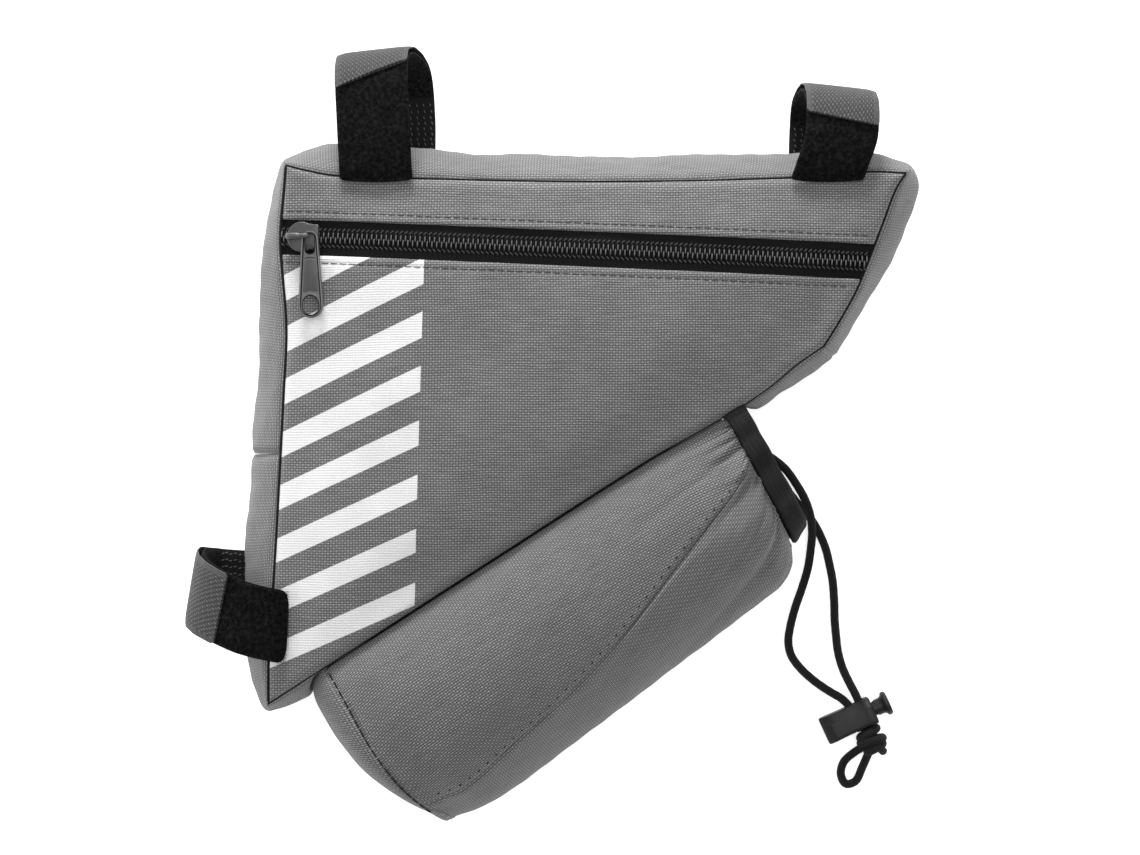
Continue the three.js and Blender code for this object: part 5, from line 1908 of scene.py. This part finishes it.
@dataclass
class BottlePouch:
    """The slanted pouch with its gathered mouth, closed end, seams and mouth binding.

    A section's row gives its place along the slope, how far it reaches out, how far it lies back for each
    millimetre of reach, and the heights of its crown, its outermost line and its underside. A profile's row
    gives a share of that reach, two of those heights and the share between them. A fold's row gives its place
    round the pouch, its lean, its width, its depth and how far it runs back from the mouth.
    """

    start: float = 26.4
    front_edge: float = 45.0
    end_at: float = -4.0
    end_bow: float = 5.6
    fabric_end: float = 159.8
    binding_start: float = 160.6
    binding_end: float = 167.6
    binding_thickness: float = 2.4
    stitch_share: float = 0.33
    skin: float = 1.3
    gap: float = 0.3
    dome: float = 10.8
    dome_root: float = 1.6
    gathers: int = 9
    gather_depth: float = 1.2
    gather_from: float = 134.0
    puckers: int = 38
    girth: float = 190.0
    pleats: int = 27
    folds: tuple = (
        (14.0, 0.1, 2.0, 1.4, 16.0), (30.0, -0.15, 2.4, 1.5, 22.0), (49.0, -0.2, 2.0, 2.0, 26.0),
        (61.0, -0.3, 2.2, 1.8, 20.0), (74.0, -0.25, 2.2, 2.0, 24.0), (88.0, -0.2, 2.2, 1.6, 18.0),
    )
    seed: int = 21
    sections: tuple = (
        (-4, 69, -0.12, 55, 30, 0), (11, 71.6, -0.09, 59, 31, 0), (40, 70.2, -0.05, 61, 32, 0),
        (77, 68.2, -0.01, 61, 32, 0), (106, 65.8, 0.03, 60, 31, 0), (135, 64.4, 0.06, 57.5, 30, 0),
        (146, 63.8, 0.07, 55.5, 29.5, 1), (152, 62, 0.075, 54, 29.5, 2.4), (157, 57.6, 0.075, 52, 29, 4.6),
        (160.2, 51, 0.075, 50.4, 28.5, 6.2), (168.6, 46.2, 0.075, 49.4, 28, 7),
    )
    profile: tuple = (
        (0, "seam", "seam", 0), (0.14, "seam", "crown", 0.62), (0.4, "seam", "crown", 1),
        (0.76, "belly", "crown", 0.82), (1, "belly", "belly", 0), (0.9, "under", "belly", 0.33),
        (0.64, "under", "under", 0), (0.3, "under", "under", 0), (0, "under", "under", 0),
    )
    corner_share: float = 0.38
    drape: Waves = (
        (0.24, 25.0, 62.0, 20.0), (0.16, -40.0, 38.0, 140.0), (0.12, 70.0, 21.0, 60.0),
        (0.08, 10.0, 12.0, 200.0),
    )
    end_drape: Waves = ((0.3, 70, 30, 0), (0.15, 20, 17, 90), (0.1, 110, 9, 30))

    def column(self, index: int, along: Array) -> Array:
        """One column of the sections at places between them."""
        return value_at([row[0] for row in self.sections], [row[index] for row in self.sections], along)

    def seam_round(self, along: Array) -> Array:
        """Where the topstitched seam between the front and side panels runs, as a share round the pouch."""
        settled = 1 - np.exp(-np.maximum(0, along + 4) / 20)
        straighter = 0.015 * bump_at(along - 38.0, 36.0)
        return 0.415 + 0.02 * settled - straighter - 0.2 * (np.maximum(0, along) / 158) ** 1.5

    def end_line(self, round_it: Array) -> Array:
        """Where the closed end's seam runs: it bows out over the crown."""
        return self.end_at - self.end_bow * bump_at(round_it - 0.34, 0.16)

    def placed(self, along: Array, out: Array, up: Array) -> Array:
        """Places on the pouch in the bag's frame, from along the slope, out from the seam and up."""
        edge = EDGES["slope"]
        s = self.start + along - self.column(2, along) * out
        bow = edge.column(1, 1 - s / edge.length) * np.maximum(0, 1 - out / 30)
        return raised(edge.last.at - edge.direction * s[..., None] + edge.normal * (out + bow)[..., None], up)

    def bare(self, along: Array, round_it: Array, lift: Amount = 0.0) -> Array:
        """Points of the pouch's outer face: along it, and round it from the front seam to the back one."""
        along, round_it, lift = np.broadcast_arrays(along, round_it, lift)
        shape = along.shape
        along, round_it, lift = along.ravel(), round_it.ravel(), lift.ravel()
        reach = self.column(1, along)
        heights = {
            "seam": np.full(along.shape, self.front_edge),
            "crown": self.column(3, along),
            "belly": self.column(4, along),
            "under": np.maximum(0, self.column(5, along)),
        }
        knots = np.stack(
            [
                np.stack([np.maximum(self.gap, u * reach), lerp(heights[a], heights[b], share)], axis=-1)
                for u, a, b, share in self.profile
            ],
            axis=1,
        )
        at, ahead, behind = (
            spline(knots, np.clip(round_it + shift, 0, 1)[:, None])[:, 0] for shift in (0.0, 0.01, -0.01)
        )
        direction = unit(ahead - behind)
        puckered = smoothstep(along, self.gather_from, self.fabric_end) * np.sin(math.pi * round_it)
        ripple = self.gather_depth * puckered * np.cos(2 * math.pi * self.gathers * round_it)
        out = np.maximum(self.gap, at[:, 0] - direction[:, 1] * (ripple + lift))
        up = np.maximum(heights["under"], at[:, 1] + direction[:, 0] * (ripple + lift))
        return self.placed(along, out, up).reshape(*shape, 3)

    def relief(self, along: Array, round_it: Array, beside: Array) -> Array:
        """How far the cloth stands over the bare form, from its seams, gathers and soft dents."""
        to_mouth = self.fabric_end - along
        shares = np.sin(math.pi * np.clip(round_it, 0, 1)) ** 0.3
        fan = 0.6 * np.cos(2 * math.pi * 13 * round_it + 0.6 * np.sin(40 * round_it)) * np.exp(-to_mouth / 17)
        soft = waves(along, round_it * self.girth, self.drape)
        seam = -0.4 * np.exp(-beside / 0.6) + 0.45 * (beside / 1.5) * np.exp(1 - beside / 1.5)
        sewn = 1 - smoothstep(round_it, 0.4, 0.47)
        bottom = -(0.15 + 0.75 * sewn) * np.exp(-np.maximum(0, along - self.end_line(round_it)) / 1.0)
        root = -0.6 * np.exp(-round_it * self.girth / 1.5)
        long_folds = 0.0
        for at, lean, wide, deep, reach in self.folds:
            place = round_it * self.girth - at + lean * to_mouth
            long_folds = long_folds - deep * bump_at(place, wide) * np.exp(-to_mouth / reach)
        return (self.pleated(to_mouth, round_it) + fan + soft + long_folds) * shares + seam + bottom + root

    def pleated(self, to_mouth: Array, round_it: Array) -> Array:
        """How far the cloth sinks in the uneven gathers that run back from the mouth binding."""
        rng = np.random.default_rng(self.seed)
        total = np.zeros(np.broadcast(to_mouth, round_it).shape)
        for i in range(self.pleats):
            at = (i + 0.5 + rng.uniform(-0.32, 0.32)) * self.girth / self.pleats
            deep = rng.uniform(0.7, 1.8)
            reach = rng.choice([3.0, 5.0, 8.0, 16.0])
            lean = rng.uniform(-0.45, 0.45)
            fading = np.exp(-to_mouth / reach) + 0.9 * np.exp(-to_mouth / 1.6)
            crease = bump_at(round_it * self.girth - at - lean * to_mouth, 1.15 + 0.1 * to_mouth)
            total = total - deep * fading * crease
        return total + 0.7 * np.exp(-to_mouth / 6)

    def panel(self, first: Callable, last: Callable, columns: int, seam_last: bool) -> Shape:
        """A panel of the pouch between two lines along it.

        Args:
            first: Gives the first line's share round the pouch at places along it.
            last: Gives the last line's.
            columns: How many points run round it.
            seam_last: Whether the topstitched seam is its last line.

        Returns:
            The panel.
        """
        u = np.linspace(0, 1, 130)[:, None]
        v = crowded(columns, 0.3)[None]
        share = 1 - (1 - u) ** 1.35
        along = lerp(self.end_at, self.fabric_end, share)
        along, v = np.broadcast_arrays(along, v)
        round_it = lerp(first(along), last(along), v)
        along = along + (self.end_line(round_it) - self.end_at) * (1 - share) ** 3
        bare = self.bare(along, round_it)
        run = laid_out(bare)
        far = run[..., 1]
        beside = (far[:, -1:] - far) if seam_last else far
        outer = self.bare(along, round_it, self.relief(along, round_it, beside))
        outer[..., 2] = np.maximum(outer[..., 2], 0.02)
        if not seam_last:
            run = run + np.array([0.0, 60.0])
        return cloth(outer, self.skin, -self.outward(outer), run)

    @staticmethod
    def outward(grid: Array) -> Array:
        """The grid's unit normals, turned out of the pouch."""
        normals = grid_normals(grid)
        row = len(grid) // 2
        return normals * out_sign(grid[row], normals[row])

    def end_panel(self) -> Shape:
        """The closed end's round panel."""
        edge = EDGES["slope"]
        u, v = crowded(56, 0.7), crowded(56, 0.7)

        def section(round_it: Array) -> Array:
            """The end section's outline, as out and up."""
            at = self.bare(np.full(np.shape(round_it), self.end_at), round_it)
            return np.stack([(at[..., :2] - edge.last.at) @ edge.normal, at[..., 2]], axis=-1)

        seam = section(np.array([1.0, 0.0]))
        root = np.stack([np.full(v.shape, self.gap), lerp(seam[0, 1], seam[1, 1], v)], axis=-1)
        high_corner, low_corner = self.corner_share, 1 - self.corner_share
        patch = coons(
            section(lerp(1.0, low_corner, u)),
            section(lerp(0.0, high_corner, u)),
            root,
            section(lerp(low_corner, high_corner, v)),
            u,
            v,
        )
        across, up = np.meshgrid(u, v)
        near = 2 * across**0.8 - 1
        high = 2 * up - 1
        full = np.clip(1 - (near**2 + high**2 - (near * high) ** 2), 0, 1)
        bulge = self.dome * np.sqrt(full) + self.dome_root * (1 - across) * np.sin(math.pi * up)
        folds = waves(patch[..., 0], patch[..., 1], self.end_drape)
        bowed = self.end_bow * bump_at(patch[..., 0] - 44.0, 24.0) * smoothstep(patch[..., 1], 18.0, 52.0)
        along = self.end_at - bowed - self.gap - bulge - folds * np.sqrt(full)
        outermost = smoothstep(near, 0.2, 1.0)
        along = along + 0.3 * bulge * outermost
        outer = self.placed(along, patch[..., 0] - 0.34 * bulge * outermost, patch[..., 1])
        inward = np.broadcast_to(np.append(-edge.direction, 0.0), outer.shape)
        return cloth(outer, self.skin, inward)

    def binding(self) -> Shape:
        """The black tape folded over the mouth's edge, with the groove of its stitches."""
        u, v = np.linspace(0.004, 0.99, 180)[:, None], np.linspace(0, 1, 25)[None]
        along = lerp(self.binding_start - 0.5 - 2.4 * np.exp(-u * 45), self.binding_end, v)
        plump = 1 - np.abs(2 * v - 1) ** 6
        groove = -0.8 * bump_at((v - self.stitch_share) * 7.5, 0.5) + 0.3 * bump_at((v - 0.15) * 7.5, 0.8)
        crimp = 0.14 * np.cos(2 * math.pi * self.puckers * u) * (1 - v) ** 2
        bare = self.bare(along, u, 0.5)
        outward = self.outward(bare)
        rounded = 0.8 * (1 - plump)
        outer = bare + outward * (groove + crimp - rounded)[..., None]
        inner = bare - outward * (self.binding_thickness - rounded)[..., None]
        return wall(outer, inner, raised(laid_out(bare), edge_closeness(bare, 1.5)))

    def binding_stitches(self) -> Shape:
        """The row of stitches in the binding's groove."""
        u = np.linspace(0.02, 0.97, 300)
        along = np.full(u.shape, lerp(self.binding_start, self.binding_end, self.stitch_share))
        line, over = self.bare(along, u, -0.2), self.bare(along, u, 1.0)
        return Stitching(length=2.1, gap=0.5, radius=0.24, rise=0.1).along(line, unit(over - line))

    def along_seam(self, offset: float) -> tuple[Array, Array]:
        """A line beside the topstitched seam, and the cloth's outward direction along it."""
        along = np.linspace(self.end_at + 1.5, self.fabric_end - 1.0, 300)
        round_it = self.seam_round(along) - offset / self.girth
        lift = self.relief(along, round_it, np.full(along.shape, offset))
        line = self.bare(along, round_it, lift)
        over = self.bare(along, round_it, lift + 1.0)
        return line, unit(over - line)

    def end_seam(self) -> tuple[Array, Array]:
        """The seam round the closed end, and its outward direction."""
        round_it = np.linspace(0.03, 0.44, 220)
        along = self.end_line(round_it) + 0.5
        line = self.bare(along, round_it, 0.0)
        over = self.bare(along, round_it, 0.6)
        return line, unit(over - line)

    def build(self) -> None:
        """Makes and dresses the pouch's pieces."""
        small = 0.0005
        front = self.panel(np.zeros_like, lambda along: self.seam_round(along) - small, 120, True)
        side = self.panel(lambda along: self.seam_round(along) + small, np.ones_like, 190, False)
        dress(front, "pouch_front_cloth", Finishes.pouch, ["pouch_front_panel"])
        dress(side, "pouch_side_cloth", Finishes.pouch, ["pouch_side_panel"])
        dress(self.end_panel(), "pouch_end_cloth", Finishes.pouch, ["pouch_end_panel"])
        dress(self.binding(), "mouth_binding_tape", Finishes.binding, ["pouch_mouth_binding"])
        dress(self.binding_stitches(), "mouth_binding_stitching", Finishes.seam)
        dents = Stitching(length=0.8, gap=3.4, radius=0.22, rise=0.05)
        dress(dents.along(*self.along_seam(2.4)), "pouch_topstitching", Finishes.dark_thread)
        sewn = Stitching(length=3.4, gap=0.5, radius=0.28)
        dress(sewn.along(*self.end_seam()), "pouch_end_stitching", Finishes.dark_thread)


# The drawcord


@dataclass
class DrawCord:
    """The elastic cord's two strands, the lock that they pass through, and the knot with its loop."""

    diameter: float = 3.0
    front: tuple = (
        (66.4, -8.4, 10.6), (70.4, -10, 9.6), (74, -12.4, 8.6), (77, -15.1, 8), (80.6, -20.1, 7.4),
        (83.9, -25.9, 6.6), (85.8, -31.6, 6), (86.5, -37.4, 4.4), (86.2, -43.1, 2.6), (85.2, -50.3, 1.6),
        (83.1, -57.5, 1.5), (80.6, -64.7, 1.5), (78.8, -71.8, 1.5), (78.2, -76.8, 1.5), (79.2, -81.5, 1.5),
        (82.4, -86.1, 1.5), (87.8, -91, 1.8), (93, -94.5, 3), (97.2, -97, 4.2), (99.9, -99.8, 4.6),
        (102, -103.6, 4.6), (104.2, -108.2, 4.6),
    )
    back: tuple = (
        (73.4, -18.4, 10.4), (76.6, -21.6, 9.6), (79, -24.4, 8.4), (80.8, -26.6, 6), (83.6, -29.8, 2.6),
        (86.3, -32.8, 1.6), (88.8, -36.9, 1.5), (91.5, -43.2, 1.5), (92.9, -48.9, 1.5), (94, -54.6, 1.5),
        (94.6, -61.8, 1.5), (94.8, -68.9, 1.5), (95.3, -74.7, 1.5), (96, -80.4, 1.5), (97.6, -86.1, 1.6),
        (100, -91.4, 3), (101.7, -94.7, 4.3), (102.8, -97.1, 4.6), (105, -102, 4.6), (107.2, -106.8, 4.6),
    )
    lock_end: tuple[float, float] = (90.7, -108.7)
    lock_turn: float = 24.7
    lock_length: float = 19.4
    lock_width: float = 10.0
    lock_height: float = 9.2
    hole_at: float = 14.2
    hole_length: float = 6.9
    hole_height: float = 3.7
    bore: float = 3.3
    travel: float = 3.0
    knot_at: tuple[float, float] = (107.6, -111.4)
    knot_turns: tuple = ((2.5, 3.3, 0.12), (-0.4, 3.9, -0.2), (-3.3, 3.0, 0.1))
    knot_tail: tuple = ((0.4, 2.0, 2.0), (1.6, 4.3, 0.6), (2.2, 5.9, -1.4))
    loop: tuple = (
        (106.4, -113.2), (101.8, -116.2), (98, -119.8), (97, -124.2),
        (98.8, -127.6), (102.2, -126.6), (104.6, -121.6), (107.2, -115),
    )

    @property
    def mid(self) -> float:
        """The height of the lock's middle."""
        return self.lock_height / 2

    def seat(self) -> Matrix:
        """The lock's own frame: +X runs from its closed end to its button."""
        place = Matrix.Translation(Vector((*self.lock_end, self.mid)))
        return place @ Matrix.Rotation(math.radians(self.lock_turn), 4, "Z")

    def strand(self, name: str, node: str, points: tuple) -> tuple[bpy.types.Object, Array]:
        """One strand as a piece, and the line that it follows in millimetres."""
        line = route(points, 0.6)
        radius = self.diameter / 2 * (1 + 0.012 * np.sin(arc_lengths(line) * 2.1))
        piece = dress(tube(line, radius, sides=18), name, Finishes.cord, [node])
        return piece, line

    def body(self) -> Shape:
        """The lock's moulded barrel with its cord hole and bore."""
        end = self.lock_length
        rows = (
            (0.0, 0.9, 0.42), (0.2, 0.97, 0.5), (0.7, 1.0, 0.6), (2.9, 0.985, 0.97), (3.4, 0.975, 1.0),
            (8.0, 0.95, 0.97), (end - 3.4, 0.95, 0.96), (end - 2.6, 1.0, 1.0), (end - 0.7, 1.0, 1.0),
            (end - 0.18, 0.96, 0.95), (end, 0.88, 0.86),
        )
        stations = np.array(rows)
        half, tall = self.lock_width / 2, self.lock_height / 2
        corners = [(-half, -tall, 1.9), (half, -tall, 1.9), (half, tall - 2.2, 1.2), (1.6, tall, 0.6)]
        outline = rounded_outline([*corners, (-half, tall, 1.7)], 9)
        order = np.arange(2 * len(stations) - 1) / 2
        x, wide, high = (np.interp(order, range(len(stations)), column)[:, None] for column in stations.T)
        rings = np.broadcast_arrays(x, outline[:, 0] * wide, outline[:, 1] * high)
        bore_start = end - 15.2
        bore = turned([(0.001, bore_start), (self.bore, bore_start), (self.bore, 30.0), (0.001, 30.0)])
        slot = self.slot_cutter(self.hole_at, self.hole_length)
        return carved(lofted(np.stack(rings, axis=-1)), [slot, bore])

    def slot_cutter(self, middle: float, length: float) -> Shape:
        """The rounded slot that the cords pass through, as a tool that cuts."""
        outline = box_outline(length / 2, self.hole_height / 2, 1.2)
        plate = plate_of(outline, -self.lock_width, self.lock_width, 0.01)
        upright = Matrix.Translation(Vector((middle, 0, 0))) @ Matrix.Rotation(math.pi / 2, 4, "X")
        return plate.placed(upright)

    def button(self) -> Shape:
        """The sprung button: its shank, its dished head and the slot for the cords."""
        start = self.lock_length - 11.4
        head = self.lock_length + 4.2
        profile = [
            (0.001, start), (2.6, start), (2.95, start + 0.35), (2.95, head - 1.4), (3.05, head - 0.7),
            (3.5, head - 0.15), (4.1, head + 0.1), (4.38, head + 0.45), (4.4, head + 1.2), (4.2, head + 1.7),
            (3.8, head + 1.9), (3.3, head + 1.85), (2.9, head + 1.45), (2.4, head + 1.2), (0.001, head + 1.2),
        ]
        slot = self.slot_cutter(self.hole_at + self.travel / 2, self.hole_length + self.travel)
        return carved(turned(profile, 40), [slot])

    def knot(self) -> Shape:
        """The overhand knot's turns and the short loop that ends it."""
        turn = math.radians(self.lock_turn)
        along = np.array([-math.sin(turn), math.cos(turn), 0.0])
        side = np.array([math.cos(turn), math.sin(turn), 0.0])
        centre = np.array([*self.knot_at, self.mid])
        radius = self.diameter / 2
        angles = np.linspace(0, 2 * math.pi, 33)
        parts = []
        for back, reach, lean in self.knot_turns:
            line = (
                centre
                + along * back
                + np.outer(np.cos(angles) * reach, side)
                + np.outer(np.sin(angles) * reach * 0.82, UP)
                + np.outer(np.cos(angles) * lean * reach, along)
            )
            parts.append(tube(line, radius + 0.12, sides=12))
        for shift in (-1.3, 1.3):
            core = [centre + along * back + side * shift for back in (3.6, 1.2, -1.4, -3.8)]
            parts.append(tube(route(core, 0.7), radius, sides=10))
        tail = [centre + side * x - along * y + UP * z for x, y, z in self.knot_tail]
        parts.append(tube(route(tail, 0.5), radius, sides=12))
        laid = [math.sin(math.pi * i / (len(self.loop) - 1)) ** 0.4 for i in range(len(self.loop))]
        points = [(x, y, lerp(self.mid, radius + 0.05, share)) for (x, y), share in zip(self.loop, laid)]
        parts.append(tube(route(points, 0.5), radius, sides=18))
        return joined(parts)

    def build(self) -> None:
        seat = self.seat()
        body = dress(self.body().placed(seat), "lock_barrel", Finishes.lock, ["cord_lock_body"], crease=40)
        button = dress(
            self.button().placed(seat),
            "lock_button",
            Finishes.lock,
            ["cord_lock_button"],
            body="cord_lock_button",
            crease=40,
        )
        knot = dress(self.knot(), "cord_knot_turns", Finishes.cord, ["cord_knot"])
        strands = (
            ("front_strand", "cord_front_strand", self.front, [body, button, knot]),
            ("back_strand", "cord_back_strand", self.back, [knot]),
        )
        for name, node, points, pieces in strands:
            piece, line = self.strand(name, node, points)


def carved(shape: Shape, tools: Sequence[Shape]) -> Shape:
    """A shape with tools cut out of it.

    Args:
        shape: What is cut.
        tools: What cuts it.

    Returns:
        What is left.
    """
    block = holder_of(shape, "block")
    cutters = [holder_of(tool, "tool") for tool in tools]
    for cutter in cutters:
        cut = block.modifiers.new("cut", "BOOLEAN")
        cut.operation = "DIFFERENCE"
        cut.solver = "EXACT"
        cut.object = cutter
    bpy.context.view_layer.update()
    cut_block = block.evaluated_get(bpy.context.evaluated_depsgraph_get())
    made = shape_from(bpy.data.meshes.new_from_object(cut_block))
    for thing in [block, *cutters]:
        data = thing.data
        bpy.data.objects.remove(thing)
        bpy.data.meshes.remove(data)
    return made


def holder_of(shape: Shape, name: str) -> bpy.types.Object:
    """A bare object that holds a shape while it is worked on."""
    mesh = bpy.data.meshes.new(name)
    mesh.from_pydata(shape.points.tolist(), [], shape.faces)
    return linked(name, mesh)


# The stage


@dataclass
class Stage:
    """The white floor, the soft lights and the camera straight above."""

    camera_height: float = 1.248
    lens: float = 109.9
    floor_size: float = 6.0
    floor_drop: float = 0.0004
    sky: float = 0.35
    lit_at: tuple[float, float, float] = (0, 0, 0.02)
    lights: tuple = (
        ("key", (-0.2, 1.6, 0.55), 0.5, 28.5),
        ("side", (-1.6, 0.1, 0.75), 0.7, 6.3),
        ("above", (0.1, 0.3, 2.0), 1.4, 18.4),
    )

    def camera(self) -> None:
        """The camera at the photograph's place."""
        data = bpy.data.cameras.new("camera")
        data.sensor_width = 36
        data.sensor_fit = "HORIZONTAL"
        data.lens = self.lens
        holder = linked("camera", data)
        holder.location = (0, 0, self.camera_height)
        bpy.context.scene.camera = holder

    def floor(self) -> None:
        """The white floor."""
        half = self.floor_size / 2
        corners = [(-half, -half, 0), (half, -half, 0), (half, half, 0), (-half, half, 0)]
        mesh = bpy.data.meshes.new("floor")
        mesh.from_pydata(corners, [], [(0, 1, 2, 3)])
        board = Board("white_paper")
        paper = board.noise(board.place(), 0.004, 4.0)
        board.finish(
            0.9,
            0.9,
            paper,
            0.01 * MM,
            Specular_IOR_Level=0.1,
            Emission_Color=(1, 1, 1, 1),
            Emission_Strength=0.7,
        )
        mesh.materials.append(board.material)
        floor = linked("floor", mesh)
        floor.location = (0, 0, -self.floor_drop)

    def light(self, name: str, place: tuple, size: float, power: float) -> None:
        """A soft square light that faces the bag."""
        data = bpy.data.lights.new(name, "AREA")
        data.shape = "SQUARE"
        data.size = size
        data.energy = power
        holder = linked(name, data)
        holder.location = place
        holder.rotation_mode = "QUATERNION"
        holder.rotation_quaternion = (Vector(self.lit_at) - Vector(place)).to_track_quat("-Z", "Y")

    def build(self) -> None:
        """Sets the stage."""
        self.camera()
        self.floor()
        for row in self.lights:
            self.light(*row)
        world = bpy.data.worlds.new("studio")
        world.use_nodes = True
        background = world.node_tree.nodes["Background"]
        background.inputs["Color"].default_value = (1, 1, 1, 1)
        background.inputs["Strength"].default_value = self.sky
        bpy.context.scene.world = world
        bpy.context.scene.view_settings.view_transform = "Standard"


def main() -> None:
    """Loads the frame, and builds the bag's parts in order."""
    logging.basicConfig(level=logging.INFO, format="%(name)s: %(message)s")
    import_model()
    Stage().build()
    DrawCord().build()
    MainPouch().build()
    Zip().build()
    for strap in STRAPS:
        strap.build()
    BottlePouch().build()


if __name__ == "__main__":
    main()
